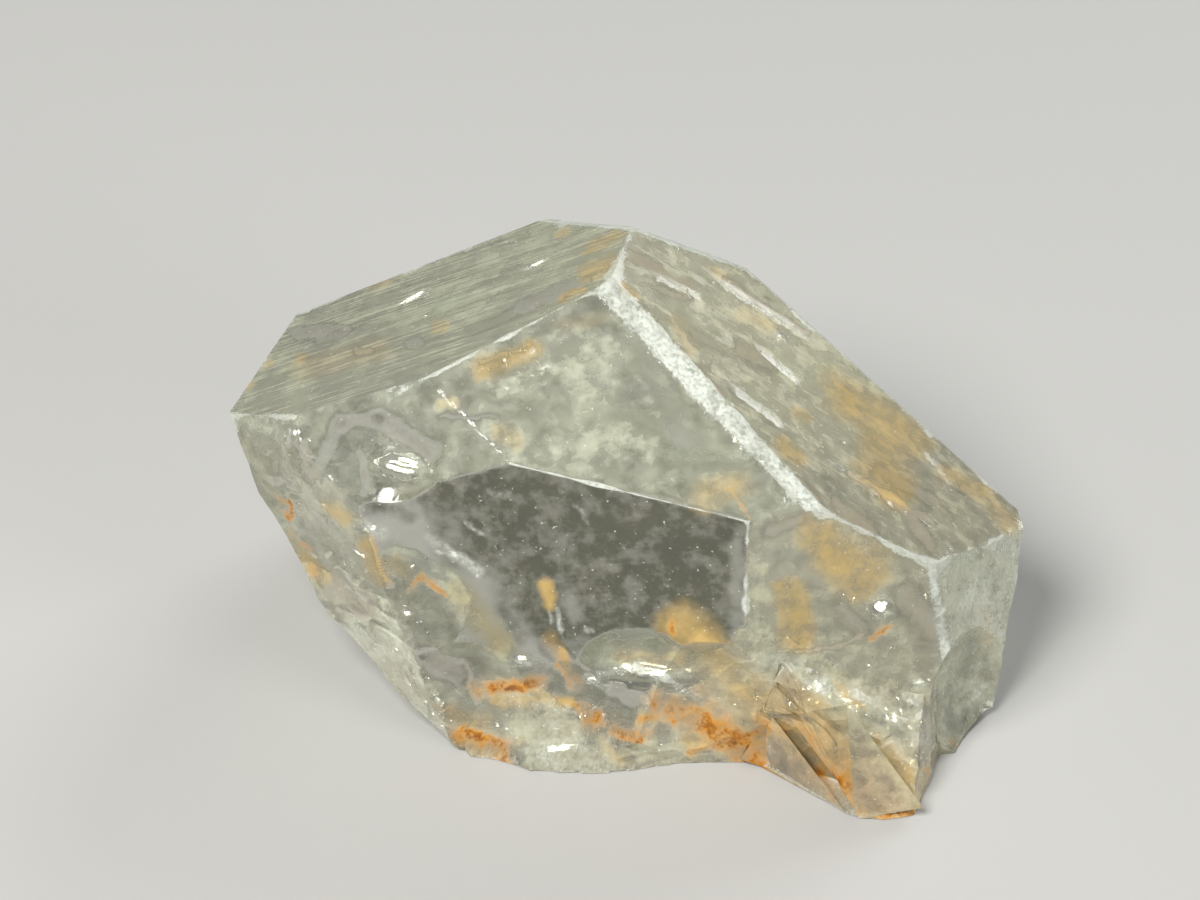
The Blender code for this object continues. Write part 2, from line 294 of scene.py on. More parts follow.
# Direction of the growth lines in a face, in degrees from its right, seen from outside
STREAKS = {
    "pyramid_left": 113.0,
    "pyramid_right": -94.0,
    "pyramid_front": 24.0,
    "worn_band": -60.0,
    "window": 12.0,
    "prism_right": 70.0,
    "right_end_front": -62.0,
    "toe_front": -38.0,
    "toe_right": -60.0,
    "skirt_front": 8.0,
    "shoulder_left": 10.0,
    "fracture_left": 75.0,
    "pyramid_back": 20.0,
    "back": 80.0,
    "right_end": 80.0,
    "back_left": 80.0,
    "back_right": 80.0,
    "left_tip_back": 60.0,
}

# Relief of the faces: sizes in mm of its random forms, each with the seed of its field
COARSE, MEDIUM, FINE, SWELL = (1.7, 3), (0.8, 4), (0.35, 5), (1.1, 8)
LARGE_SHELLS, SMALL_SHELLS = (2.1, 20), (0.95, 40)
LINE_SIZES = (3.0, 0.45, 3.0)   # mm along, across and out of the face
LINE_SEED = 9
AXIS_PRIMES = np.array((73856093, 19349663, 83492791))
SEED_PRIME, MIX_PRIME = 2654435761, 1274126177


def direction(azimuth, elevation):
    """Unit vector of a compass azimuth and an elevation; azimuth 0 looks towards -Y."""
    turn, rise = np.radians(azimuth), np.radians(elevation)
    return np.array((np.sin(turn) * np.cos(rise), -np.cos(turn) * np.cos(rise), np.sin(rise)))


def face_plane(name):
    """Normal of a face, and its distance from the heart."""
    azimuth, elevation, distance = ALL_FACES[name]
    return direction(azimuth, elevation), distance


def worn_plane(first, second, width):
    """Plane square to the bisector of two faces, sunk below their edge until it has a width."""
    (normal_1, distance_1), (normal_2, distance_2) = face_plane(first), face_plane(second)
    bisector = normal_1 + normal_2
    length = np.linalg.norm(bisector)
    half_angle = 0.5 * np.arccos(normal_1 @ normal_2)
    return bisector / length, (distance_1 + distance_2) / length - 0.5 * width * np.tan(half_angle)


def edge_point(first, second, along_mm=0.0):
    """Point on the line where two faces meet, so far along it from its nearest point to the
    heart, and the line's direction."""
    (normal_1, distance_1), (normal_2, distance_2) = face_plane(first), face_plane(second)
    line = np.cross(normal_1, normal_2)
    line = line / np.linalg.norm(line)
    return np.linalg.solve(np.array((normal_1, normal_2, line)), (distance_1, distance_2, along_mm)), line


def face_frame(normal):
    """Axes in a face, to the right and up as seen from outside."""
    right = np.cross((0.0, 0.0, 1.0), normal)
    right = right / np.linalg.norm(right)
    return right, np.cross(normal, right)


def turned_axes(name, angle):
    """Axes in a face along and across a direction turned by degrees from its right."""
    normal = face_plane(name)[0]
    right, up = face_frame(normal)
    turn = np.radians(angle)
    along = right * np.cos(turn) + up * np.sin(turn)
    return along, np.cross(normal, along)


def random_values(cells, seed):
    """A fixed random number from 0 to 1 for each whole-number cell of a cubic lattice."""
    key = cells.astype(np.int64) @ AXIS_PRIMES + seed * SEED_PRIME
    key = (key ^ (key >> 13)) * MIX_PRIME
    return ((key ^ (key >> 16)) & 0xFFFFFF) / float(0x1000000)


def lattice_noise(points, cell, seed):
    """Random field from -1 to 1: random values at the corners of a cubic lattice, blended by
    a smooth step along each axis."""
    scaled = points / cell
    home = np.floor(scaled)
    part = scaled - home
    part = part * part * (3.0 - 2.0 * part)
    total = np.zeros(len(points))
    for step in np.ndindex(2, 2, 2):
        weight = np.prod(np.where(np.array(step) == 1, part, 1.0 - part), axis=1)
        total += weight * random_values(home + np.array(step), seed)
    return 2.0 * total - 1.0


def shell_hollows(points, size, seed):
    """Depth of shell-shaped hollows about a size apart, from 0 on the ridges between them to
    1 at their bottoms: one minus the square of the distance to the nearest of a set of
    centres, one at a random place in each cell of a cubic lattice."""
    shift = [lattice_noise(points, 1.3 * size, seed + k) for k in (1, 2, 3)]
    scaled = (points + 0.35 * size * np.stack(shift, axis=1)) / size
    home = np.floor(scaled)
    nearest = np.full(len(points), FAR)
    for step in np.ndindex(3, 3, 3):
        cell = home + np.array(step) - 1.0
        centre = cell + np.stack([random_values(cell, seed + k) for k in (4, 5, 6)], axis=1)
        nearest = np.minimum(nearest, ((scaled - centre) ** 2).sum(axis=1))
    return np.clip(1.0 - 1.3 * nearest, 0.0, 1.0)


def box_grid(counts):
    """Unit directions through the corners of a grid on a box's six sides, spread by a tangent
    and by REACH and drawn towards LEAN, and each cell's four corners. Sides share corners."""
    counts = np.array(counts)
    lattice, quads = [], []
    start = 0
    for axis in range(3):
        first, second = [k for k in range(3) if k != axis]
        rows, columns = counts[first] + 1, counts[second] + 1
        for level in (0, counts[axis]):
            side = np.full((rows, columns, 3), level)
            side[..., first] = np.arange(rows)[:, None]
            side[..., second] = np.arange(columns)[None, :]
            lattice.append(side.reshape(-1, 3))
            index = start + np.arange(rows * columns).reshape(rows, columns)
            corners = (index[:-1, :-1], index[1:, :-1], index[1:, 1:], index[:-1, 1:])
            quads.append(np.stack(corners, axis=-1).reshape(-1, 4))
            start += rows * columns
    unique, index = np.unique(np.concatenate(lattice), axis=0, return_inverse=True)
    spread = np.tan((unique / counts * 2.0 - 1.0) * np.pi / 4.0) * REACH
    leaning = spread / np.linalg.norm(spread, axis=1, keepdims=True) + LEAN
    return leaning / np.linalg.norm(leaning, axis=1, keepdims=True), index.ravel()[np.concatenate(quads)]


def chip_spheres():
    """Centre and radius of each small sphere that chips a worn edge, at seeded places."""
    dice = random.Random(CHIP_SEED)
    spheres = []
    for first, second, start, end, count in CHIPPED_EDGES:
        outward = worn_plane(first, second, 0.0)[0]
        for number in range(count):
            place = (number + dice.uniform(0.2, 0.8)) / count
            radius = dice.uniform(*CHIP_RADIUS)
            depth = dice.uniform(*CHIP_DEPTH)
            spot = edge_point(first, second, start + (end - start) * place)[0]
            spheres.append((spot + outward * (radius - depth), radius))
    return spheres


def scoop_spheres():
    """Centre and radius of the sphere that leaves each scoop's rim and depth in its face."""
    spheres = []
    for face, scoops in SCOOPS.items():
        normal, distance = face_plane(face)
        right, up = face_frame(normal)
        for right_mm, up_mm, rim, depth in scoops:
            radius = (rim ** 2 + depth ** 2) / (2.0 * depth)
            spheres.append((normal * (distance + radius - depth) + right * right_mm + up * up_mm, radius))
    return spheres


def ledge_depth(name, points):
    """Depth of the growth ledges of a face at points on it: full along one side of each
    ledge's strip, falling evenly to nothing at its other side."""
    right, up = face_frame(face_plane(name)[0])
    total = np.zeros(len(points))
    for right_mm, up_mm, angle, length, width, depth in LEDGES[name]:
        along, across = turned_axes(name, angle)
        away = points - (right * right_mm + up * up_mm)
        run = np.abs(away @ along) / (0.5 * length)
        side = away @ across / width + 0.5
        inside = (side > 0.0) & (side < 1.0)
        fall = np.clip(2.5 * (1.0 - run), 0.0, 1.0)
        total = np.maximum(total, np.where(inside, LEDGE_SHARE * depth * fall * (1.0 - side), 0.0))
    return total


Hull = namedtuple("Hull", "normals distances finishes names")


def crystal_hulls():
    """Three hulls that together are the stone, each given by its planes: the body, the toe
    and the foot."""
    def plain(faces, inset=0.0):
        rows = []
        for name in faces:
            normal, distance = face_plane(name)
            less = 0.0 if name == "base" else inset
            rows.append((normal, distance - less, FINISHES.get(name, HIDDEN), name))
        return rows

    def worn(edges, inset=0.0):
        broad = [worn_plane(*edge) for edge in edges if edge[2] >= BROAD_EDGE]
        return [(normal, distance - inset, WORN, "worn") for normal, distance in broad]

    body = plain(OUTER_FACES) + plain(BODY_FACES) + worn(WORN_OUTER_EDGES) + worn(WORN_FRONT_EDGES)
    outer = plain(OUTER_FACES, GROWTH_INSET) + worn(WORN_OUTER_EDGES, GROWTH_INSET)
    return [Hull(*map(np.array, zip(*rows)))
            for rows in (body, outer + plain(TOE_FACES), outer + plain(SKIRT_FACES))]


HULLS = crystal_hulls()


def crystal_reach(u):
    """Distance from the heart to the surface along each direction, and the finish there: the
    nearest plane of a hull, the farthest of the three hulls, then the near side of any hollow's
    sphere that it crosses. Each plane is first sunk by the relief of its face."""
    slopes = [np.maximum(u @ hull.normals.T, 1e-6) for hull in HULLS]
    reach = np.zeros(len(u))
    for hull, facing in zip(HULLS, slopes):
        reach = np.maximum(reach, (hull.distances / facing).min(axis=1))
    rough = u * reach[:, None]
    fine = lattice_noise(rough, *FINE)
    lumps = 0.5 + 0.30 * lattice_noise(rough, *COARSE) + 0.20 * lattice_noise(rough, *MEDIUM)
    lumps = lumps + 0.12 * fine
    hollow = 0.65 * shell_hollows(rough, *LARGE_SHELLS) + 0.35 * shell_hollows(rough, *SMALL_SHELLS)
    reach = np.zeros(len(u))
    finish = np.zeros((len(u), len(Finish._fields)))
    for hull, facing in zip(HULLS, slopes):
        distance = np.zeros_like(facing)
        for column, name in enumerate(hull.names):
            kind = Finish(*hull.finishes[column])
            depth = kind.rough * lumps + kind.scallop * hollow
            if kind.stria > 0.0:
                axes = (*turned_axes(name, STREAKS.get(name, 0.0)), hull.normals[column])
                lines = np.stack([rough @ axis / size for axis, size in zip(axes, LINE_SIZES)], axis=1)
                depth = depth + kind.stria * (0.5 + 0.5 * lattice_noise(lines, 1.0, LINE_SEED))
            if name in LEDGES:
                depth = depth + ledge_depth(name, rough)
            distance[:, column] = (hull.distances[column] - depth) / facing[:, column]
        first = distance.argmin(axis=1)
        here = distance[np.arange(len(u)), first]
        further = here > reach
        reach[further] = here[further]
        finish[further] = hull.finishes[first[further]]
    wobble = 0.05 * lattice_noise(rough, *SWELL) + 0.015 * fine
    hollows = [(*sphere, SCOOPED) for sphere in scoop_spheres()]
    hollows += [(*sphere, CHIPPED) for sphere in chip_spheres()]
    for centre, radius, kind in hollows:
        size = radius + wobble * min(1.0, 0.25 * radius)
        along = u @ centre
        inside = along ** 2 - centre @ centre + size ** 2
        half = np.sqrt(np.maximum(inside, 0.0))
        near = along - half
        hit = (inside > 0.0) & (near < reach) & (reach < along + half) & (near > 0.0)
        reach[hit] = near[hit]
        finish[hit] = (finish[hit] + kind) * HOLLOW_SHARE
    return reach, finish


def crystal_points(u):
    """Surface points along the directions, their normals and finishes. A normal is the cross
    product of the steps to the surface along two directions turned a little aside."""
    side = np.cross(u, np.where(np.abs(u[:, 2:]) < 0.9, (0.0, 0.0, 1.0), (1.0, 0.0, 0.0)))
    side = side / np.linalg.norm(side, axis=1, keepdims=True)
    turned = np.concatenate((u, u + TURN * side, u + TURN * np.cross(u, side)))
    turned = turned / np.linalg.norm(turned, axis=1, keepdims=True)
    reach, finish = crystal_reach(turned)
    here, beside, above = np.split(turned * reach[:, None], 3)
    normal = np.cross(beside - here, above - here)
    normal = normal / np.linalg.norm(normal, axis=1, keepdims=True)
    return here, normal, finish[:len(u)]


def crystal_surface():
    """Closed surface over the box grid. Each cell gets a point of its own: the one nearest to
    the tangent planes at its four corners, so that it lies on any crystal edge that crosses
    the cell. Each grid line between two cells then carries two triangles, from its ends to
    the points of both cells."""
    u, quads = box_grid(GRID)
    corner, normal, finish = crystal_points(u)
    p, n = corner[quads], normal[quads]
    middle = p.mean(axis=1)
    matrix = np.einsum("cki,ckj->cij", n, n) + EDGE_HOLD * np.eye(3)
    offset = np.einsum("cki,cki->ck", n, p - middle[:, None, :])
    move = np.linalg.solve(matrix, np.einsum("ck,cki->ci", offset, n)[..., None])[..., 0]
    limit = CELL_LIMIT * np.linalg.norm(p[:, 0] - p[:, 2], axis=1)
    move *= np.minimum(1.0, limit / np.maximum(np.linalg.norm(move, axis=1), 1e-9))[:, None]
    points = np.concatenate((corner, middle + move))
    finish = np.concatenate((finish, finish[quads].mean(axis=1)))
    sides = np.stack([quads, np.roll(quads, -1, axis=1)], axis=-1).reshape(-1, 2)
    owner = np.repeat(np.arange(len(quads)), 4) + len(corner)
    order = np.lexsort((sides.max(axis=1), sides.min(axis=1)))
    sides, owner = sides[order], owner[order]
    i, j, f, g = sides[0::2, 0], sides[0::2, 1], owner[0::2], owner[1::2]
    triangles = np.concatenate((np.stack((i, g, f), axis=1), np.stack((j, f, g), axis=1)))
    a, b, c = (points[triangles[:, k]] for k in range(3))
    inward = np.einsum("ij,ij->i", np.cross(b - a, c - a), a + b + c) < 0.0
    triangles[inward] = triangles[inward][:, ::-1]
    points = points + HEART
    points[:, 2] = np.maximum(points[:, 2], 0.0)
    return points, triangles, finish


def edge_distance(points):
    """How far each point is from the nearest worn edge, where 1 is the border of its frosted
    strip: the distance to the line where the edge's two faces meet, over half its width."""
    nearest = np.full(len(points), 6.0)
    for first, second, width in WORN_OUTER_EDGES + WORN_FRONT_EDGES + FROSTED_EDGES:
        spot, line = edge_point(first, second)
        away = points - HEART - spot
        away = away - np.outer(away @ line, line)
        faint = FAINT_EDGES.get((first, second), 0.0)
        nearest = np.minimum(nearest, np.linalg.norm(away, axis=1) / (0.5 * width) + faint)
    return nearest


def streak_place(points):
    """Distances in mm along and across the growth lines of the face that each point is on, by
    the face whose plane is nearest to it, and a third number that differs from face to face."""
    gap = np.full(len(points), FAR)
    place = np.zeros((len(points), 3))
    away = points - HEART
    for name, angle in STREAKS.items():
        normal, distance = face_plane(name)
        along, across = turned_axes(name, angle)
        here = np.abs(away @ normal - distance)
        rows = np.stack((away @ along, away @ across, np.full(len(points), 0.7 * angle)), axis=1)
        closer = here < gap
        gap[closer] = here[closer]
        place[closer] = rows[closer]
    return place


def marks(pixels, facing, rows):
    """Sum of brush marks as the camera sees them. Each is a line between two pixels, with a
    half-width in mm and a strength, and fades from its line outwards. Marks lie only on the
    side of the stone that faces the camera."""
    total = np.zeros(len(pixels))
    for x_1, y_1, x_2, y_2, half_width, strength in rows:
        start, run = np.array((x_1, y_1)), np.array((x_2 - x_1, y_2 - y_1))
        away = pixels - start
        share = np.clip(away @ run / max(run @ run, 1.0), 0.0, 1.0)
        distance = np.linalg.norm(away - share[:, None] * run, axis=1) * MM_PER_PIXEL
        total += strength * np.clip(1.0 - (distance / (BRUSH_REACH * half_width)) ** 2, 0.0, 1.0) ** 2
    return total * np.clip(4.0 * facing, 0.0, 1.0)


# What the surface shows, as brush marks placed by the photograph's pixels, painted highlights and painted
# shade among them.
# Each row is a line from one pixel to another, its half-width in mm and its strength.
MM_PER_PIXEL = 0.035
BRUSH_REACH = 1.35     # a mark fades to nothing at this many half-widths
WANDER = 3.0           # pixels, how far the marks' borders stray
SHARP_ANGLE = 25.0     # degrees between faces, past which their edge isn't shaded smooth
CONTACT_SHADE_HEIGHT = 0.05     # mm above the table, up to which the stone is painted near black: painted contact shade
DEEPEST_SHELL = 0.14   # mm, the relief that counts as fully broken
DEEPEST_LINE = 0.022   # mm, the growth lines that count as fully lined
# Painted highlights: pale frost-coloured marks where the stone glints or shines, with the real frosted
# ledge above the toe and the worn band among them
FROST_AND_PAINTED_GLINT_MARKS = [
    # bright ends of the ridge between the left and front pyramid faces, and its crossing
    (389, 399, 402, 390, 0.20, 1.3), (402, 390, 430, 374, 0.14, 0.9), (596, 296, 612, 284, 0.18, 0.5),
    # brightest stretch of the worn band
    (640, 318, 700, 398, 0.34, 0.6), (672, 366, 704, 404, 0.30, 0.8), (806, 500, 868, 542, 0.24, 0.5),
    (841, 532, 893, 567, 0.22, 0.5), (889, 565, 928, 604, 0.12, 0.35), (926, 532, 950, 520, 0.16, 0.4),
    # glints on the left pyramid face
    (397, 303, 427, 292, 0.15, 0.9), (524, 271, 550, 255, 0.14, 0.9), (471, 258, 500, 255, 0.12, 0.5),
    # glints on the right pyramid face
    (779, 334, 786, 338, 0.26, 1.4), (766, 311, 791, 325, 0.14, 0.8), (757, 347, 794, 378, 0.10, 0.9),
    (780, 384, 791, 392, 0.10, 0.9), (729, 384, 768, 412, 0.17, 0.9), (726, 338, 730, 341, 0.14, 0.9),
    (698, 280, 702, 283, 0.15, 0.9), (833, 464, 850, 472, 0.11, 1.0), (934, 463, 954, 491, 0.11, 0.7),
    (785, 471, 797, 483, 0.16, 0.8), (812, 416, 815, 427, 0.08, 0.8), (824, 418, 834, 429, 0.08, 0.7),
    # rim of the small lens-shaped facet on the left shoulder, and the white shard below it
    (373, 457, 391, 449, 0.11, 1.0), (391, 449, 413, 460, 0.10, 1.0), (413, 460, 433, 472, 0.11, 1.1),
    (404, 480, 433, 472, 0.10, 0.8), (356, 524, 378, 533, 0.30, 1.2), (356, 506, 352, 524, 0.10, 0.8),
    # glints on the left break
    (347, 588, 367, 599, 0.10, 1.1), (356, 623, 370, 635, 0.15, 1.1), (385, 650, 400, 664, 0.12, 0.7),
    # streak, spike and specks in the window
    (428, 538, 456, 557, 0.17, 0.9), (452, 554, 477, 571, 0.22, 1.3), (468, 524, 481, 531, 0.09, 0.9),
    (558, 609, 561, 632, 0.12, 1.3), (547, 611, 552, 625, 0.08, 0.8), (486, 491, 508, 494, 0.13, 0.5),
    (587, 629, 590, 631, 0.13, 1.1), (572, 505, 580, 512, 0.08, 0.5), (582, 512, 591, 523, 0.08, 0.5),
    # bright arc and its neighbours at the window's foot
    (603, 673, 637, 667, 0.26, 1.5), (637, 667, 666, 678, 0.24, 1.6), (666, 678, 700, 699, 0.17, 1.3),
    (586, 678, 606, 688, 0.20, 1.3), (514, 660, 528, 662, 0.24, 1.3), (569, 695, 586, 685, 0.14, 0.6),
    (646, 704, 650, 707, 0.15, 1.1), (565, 705, 575, 712, 0.10, 0.7),
    # shining lobes of the broken foot
    (528, 754, 548, 757, 0.38, 0.9), (574, 742, 588, 746, 0.22, 0.8), (540, 766, 612, 770, 0.16, 0.6),
    (650, 742, 668, 746, 0.25, 0.5), (600, 756, 612, 762, 0.16, 0.6),
    # striped diamond in the right prism face
    (871, 597, 884, 616, 0.10, 1.2), (878, 591, 893, 611, 0.09, 1.2), (867, 604, 876, 617, 0.09, 0.9),
    (884, 592, 897, 608, 0.08, 0.8), (878, 617, 892, 615, 0.14, 1.3),
    # frosted ledge above the toe
    (744, 663, 778, 661, 0.30, 0.5), (778, 661, 840, 666, 0.22, 0.5), (750, 575, 750, 640, 0.20, 0.25),
    # glints on the toe and the right end
    (806, 684, 826, 686, 0.20, 1.5), (911, 684, 926, 684, 0.21, 1.5), (909, 697, 915, 702, 0.15, 1.3),
    (938, 650, 950, 656, 0.30, 0.5), (886, 717, 897, 722, 0.18, 0.9), (918, 736, 930, 740, 0.24, 0.7),
    (845, 750, 855, 752, 0.22, 0.9), (963, 728, 968, 721, 0.15, 1.0), (838, 712, 845, 718, 0.12, 0.9),
    (871, 762, 877, 764, 0.15, 0.8), (785, 697, 795, 695, 0.16, 0.9), (974, 678, 976, 706, 0.13, 0.6),
    (832, 686, 872, 722, 0.10, 0.5), (846, 684, 884, 716, 0.09, 0.4), (753, 767, 800, 797, 0.18, 0.6),
    (800, 797, 856, 823, 0.18, 0.6), (905, 758, 915, 762, 0.16, 0.7),
]
MILKY_MARKS = [
    # left pyramid face
    (400, 318, 470, 296, 0.55, 0.5), (450, 308, 480, 299, 0.16, 0.5), (345, 312, 360, 304, 0.28, 0.3),
    (300, 300, 520, 222, 0.60, 0.25), (520, 222, 590, 222, 0.60, 0.25), (240, 395, 285, 325, 0.35, 0.2),
    # front pyramid face
    (492, 386, 540, 371, 0.14, 0.7), (498, 394, 546, 378, 0.14, 0.6), (438, 405, 452, 405, 0.26, 0.9),
    (470, 391, 475, 388, 0.17, 0.9), (497, 428, 512, 442, 0.55, 0.5), (578, 450, 585, 447, 0.34, 0.9),
    (595, 436, 602, 434, 0.32, 0.6), (570, 370, 606, 416, 1.30, 0.3), (572, 328, 606, 334, 0.30, 0.6),
    (565, 366, 570, 367, 0.26, 0.6), (653, 416, 659, 417, 0.16, 0.7), (520, 460, 560, 455, 0.60, 0.25),
    (640, 440, 700, 470, 0.80, 0.15),
    # right pyramid face
    (740, 314, 770, 326, 0.32, 0.7), (665, 266, 704, 283, 0.18, 0.5), (631, 266, 686, 281, 0.11, 0.5),
    (714, 271, 718, 275, 0.22, 0.7), (760, 276, 900, 405, 0.40, 0.25), (900, 405, 1000, 510, 0.40, 0.25),
    (700, 300, 760, 380, 0.45, 0.2),
    # left shoulder and break
    (380, 463, 416, 472, 0.42, 0.4), (299, 480, 310, 524, 0.14, 0.5), (330, 500, 352, 540, 0.60, 0.3),
    (390, 545, 412, 560, 0.30, 0.5), (340, 640, 420, 710, 0.40, 0.3),
    # window
    (440, 574, 500, 640, 0.75, 0.75), (528, 585, 545, 596, 0.55, 0.6), (576, 560, 604, 568, 0.30, 0.45),
    (578, 573, 581, 606, 0.10, 0.35), (610, 660, 680, 662, 0.45, 0.7), (733, 530, 740, 630, 0.30, 0.3),
    (500, 640, 520, 690, 0.50, 0.4), (716, 545, 728, 610, 0.25, 0.2),
    # foot
    (430, 690, 458, 690, 0.45, 0.5), (520, 720, 560, 728, 0.50, 0.4), (530, 757, 606, 764, 0.60, 0.5),
    (640, 752, 700, 748, 0.35, 0.5), (455, 752, 487, 760, 0.30, 0.4),
    # right prism face, right end and toe
    (762, 575, 760, 645, 0.42, 0.5), (830, 700, 880, 760, 0.90, 0.4), (912, 775, 920, 802, 0.35, 0.5),
    (900, 640, 950, 700, 0.90, 0.2), (960, 560, 985, 650, 0.40, 0.3), (780, 716, 830, 740, 0.60, 0.4),
]
# Painted shade: marks where shade shows through the stone; they thin the haze and tint the colour near
# black
PAINTED_SHADE_MARKS = [
    # left pyramid face
    (297, 334, 345, 330, 0.22, 0.8), (321, 340, 341, 333, 0.16, 0.7), (519, 307, 588, 281, 0.26, 0.6),
    (409, 345, 423, 342, 0.14, 0.7), (358, 350, 371, 351, 0.18, 0.6), (506, 275, 526, 269, 0.20, 0.4),
    (470, 330, 560, 298, 0.20, 0.3), (330, 300, 360, 292, 0.12, 0.3),
    # front pyramid face
    (480, 362, 530, 346, 0.10, 0.5), (440, 418, 500, 415, 0.12, 0.4), (630, 330, 700, 450, 0.60, 0.25),
    (610, 400, 680, 440, 0.50, 0.25),
    # right pyramid face
    (723, 280, 806, 334, 0.14, 0.8), (631, 255, 694, 288, 0.22, 0.7), (640, 282, 690, 300, 0.14, 0.5),
    (738, 348, 772, 366, 0.28, 0.6), (690, 364, 722, 396, 0.14, 0.9), (836, 504, 872, 532, 0.28, 0.7),
    (893, 497, 930, 545, 0.26, 0.6), (797, 483, 813, 501, 0.26, 0.8), (934, 497, 945, 513, 0.18, 0.6),
    (850, 473, 934, 523, 0.10, 1.0), (690, 330, 720, 350, 0.20, 0.4), (880, 470, 930, 500, 0.30, 0.4),
    # left shoulder and break
    (315, 476, 338, 424, 0.32, 0.6), (338, 424, 380, 417, 0.34, 0.7), (380, 417, 431, 452, 0.40, 0.8),
    (360, 453, 366, 492, 0.14, 0.9), (368, 462, 373, 490, 0.10, 0.8), (378, 467, 404, 478, 0.08, 0.8),
    (290, 432, 288, 445, 0.14, 0.7), (305, 440, 306, 458, 0.14, 0.7), (336, 580, 366, 608, 0.48, 0.8),
    (372, 540, 390, 587, 0.12, 0.9), (390, 600, 420, 660, 0.20, 0.4), (310, 600, 330, 625, 0.20, 0.3),
    (330, 600, 430, 715, 0.70, 0.35),
    # window: a pane of painted shade
    (650, 540, 700, 620, 1.30, 0.5), (480, 500, 720, 540, 0.70, 0.3),
    (520, 540, 560, 590, 0.60, 0.4), (430, 500, 450, 560, 0.40, 0.4), (500, 610, 520, 640, 0.30, 0.5),
    (552, 636, 589, 671, 0.10, 0.7), (640, 500, 740, 530, 0.40, 0.5), (380, 505, 410, 520, 0.30, 0.6),
    # foot
    (430, 658, 462, 676, 0.42, 1.0), (460, 664, 477, 701, 0.14, 0.9), (613, 690, 644, 701, 0.30, 0.7),
    (540, 650, 560, 672, 0.20, 0.5), (500, 712, 540, 716, 0.40, 0.3),
    # right prism face, toe
    (781, 652, 841, 647, 0.10, 0.9), (841, 647, 860, 638, 0.08, 0.7), (905, 595, 935, 628, 0.55, 0.4),
    (842, 610, 862, 632, 0.40, 0.3), (802, 783, 850, 803, 0.38, 1.0), (776, 735, 803, 722, 0.08, 0.8),
    (815, 808, 850, 815, 0.20, 0.6), (770, 530, 800, 520, 0.30, 0.4),
]
PALE_MARKS = [
    # paler parts of the window, where its painted shade is lifted: its left third, its foot and its right
    # rim
    (400, 540, 440, 650, 1.80, 1.1), (470, 600, 520, 680, 1.30, 0.9), (520, 670, 720, 680, 0.95, 1.0),
    (736, 540, 738, 640, 0.30, 0.5), (560, 580, 575, 610, 0.35, 0.5),
]
OCHRE_MARKS = [
    # left pyramid face
    (369, 283, 385, 278, 0.30, 0.4), (398, 270, 407, 266, 0.22, 0.5), (300, 358, 304, 358, 0.24, 0.6),
    (265, 364, 269, 362, 0.20, 0.5), (244, 388, 249, 386, 0.20, 0.7), (590, 248, 617, 235, 0.30, 0.5),
    (586, 273, 613, 263, 0.36, 0.7), (434, 328, 445, 326, 0.22, 0.4), (561, 234, 566, 232, 0.20, 0.5),
    (562, 299, 582, 291, 0.16, 0.9), (300, 370, 380, 350, 0.50, 0.2),
    # front pyramid face
    (482, 370, 531, 351, 0.42, 0.9), (500, 432, 515, 440, 0.40, 0.3), (704, 495, 736, 486, 0.60, 0.45),
    (440, 404, 452, 404, 0.26, 0.3), (560, 325, 600, 320, 0.30, 0.2),
    # right pyramid face
    (847, 401, 914, 440, 0.75, 0.8), (875, 448, 897, 486, 0.75, 0.7), (830, 377, 853, 404, 0.45, 0.4),
    (781, 444, 799, 459, 0.34, 0.8), (797, 412, 808, 418, 0.22, 0.5), (944, 473, 980, 492, 0.34, 0.6),
    (740, 314, 768, 325, 0.30, 0.3), (713, 270, 719, 275, 0.24, 0.4), (622, 286, 637, 298, 0.18, 0.8),
    (675, 320, 690, 350, 0.30, 0.3), (860, 470, 900, 500, 0.50, 0.35),
    # left break
    (305, 560, 323, 576, 0.34, 0.9), (327, 508, 350, 518, 0.34, 0.5), (367, 545, 381, 577, 0.34, 0.8),
    (290, 530, 300, 548, 0.20, 0.4), (392, 560, 408, 575, 0.30, 0.4),
    # window and foot
    (546, 585, 549, 604, 0.26, 0.6), (680, 625, 736, 680, 0.85, 0.45), (620, 655, 680, 660, 0.35, 0.3),
    (535, 696, 570, 703, 0.20, 0.9), (640, 718, 655, 718, 0.20, 0.8), (688, 740, 722, 741, 0.32, 0.8),
    (700, 640, 720, 660, 0.40, 0.4), (450, 712, 480, 722, 0.40, 0.5), (495, 700, 530, 702, 0.20, 0.9),
    (600, 742, 625, 765, 0.15, 0.6), (560, 650, 575, 680, 0.14, 0.6), (455, 590, 500, 645, 0.50, 0.2),
    # right prism face: two stained films
    (818, 535, 872, 566, 0.80, 1.0), (828, 560, 858, 585, 0.70, 0.9), (792, 592, 794, 634, 0.62, 1.0),
    (802, 606, 806, 640, 0.40, 0.7), (775, 585, 790, 590, 0.20, 0.4),
    # toe and right end
    (842, 772, 904, 806, 0.80, 0.7), (838, 686, 864, 709, 0.14, 0.7), (952, 743, 955, 745, 0.16, 0.7),
    (760, 742, 800, 752, 0.40, 0.6), (800, 690, 830, 720, 0.40, 0.4), (985, 490, 1012, 530, 0.35, 0.4),
    (760, 710, 900, 785, 1.20, 0.5),
    (740, 690, 790, 700, 0.40, 0.5), (880, 740, 905, 770, 0.40, 0.4), (980, 600, 990, 640, 0.25, 0.4),
]
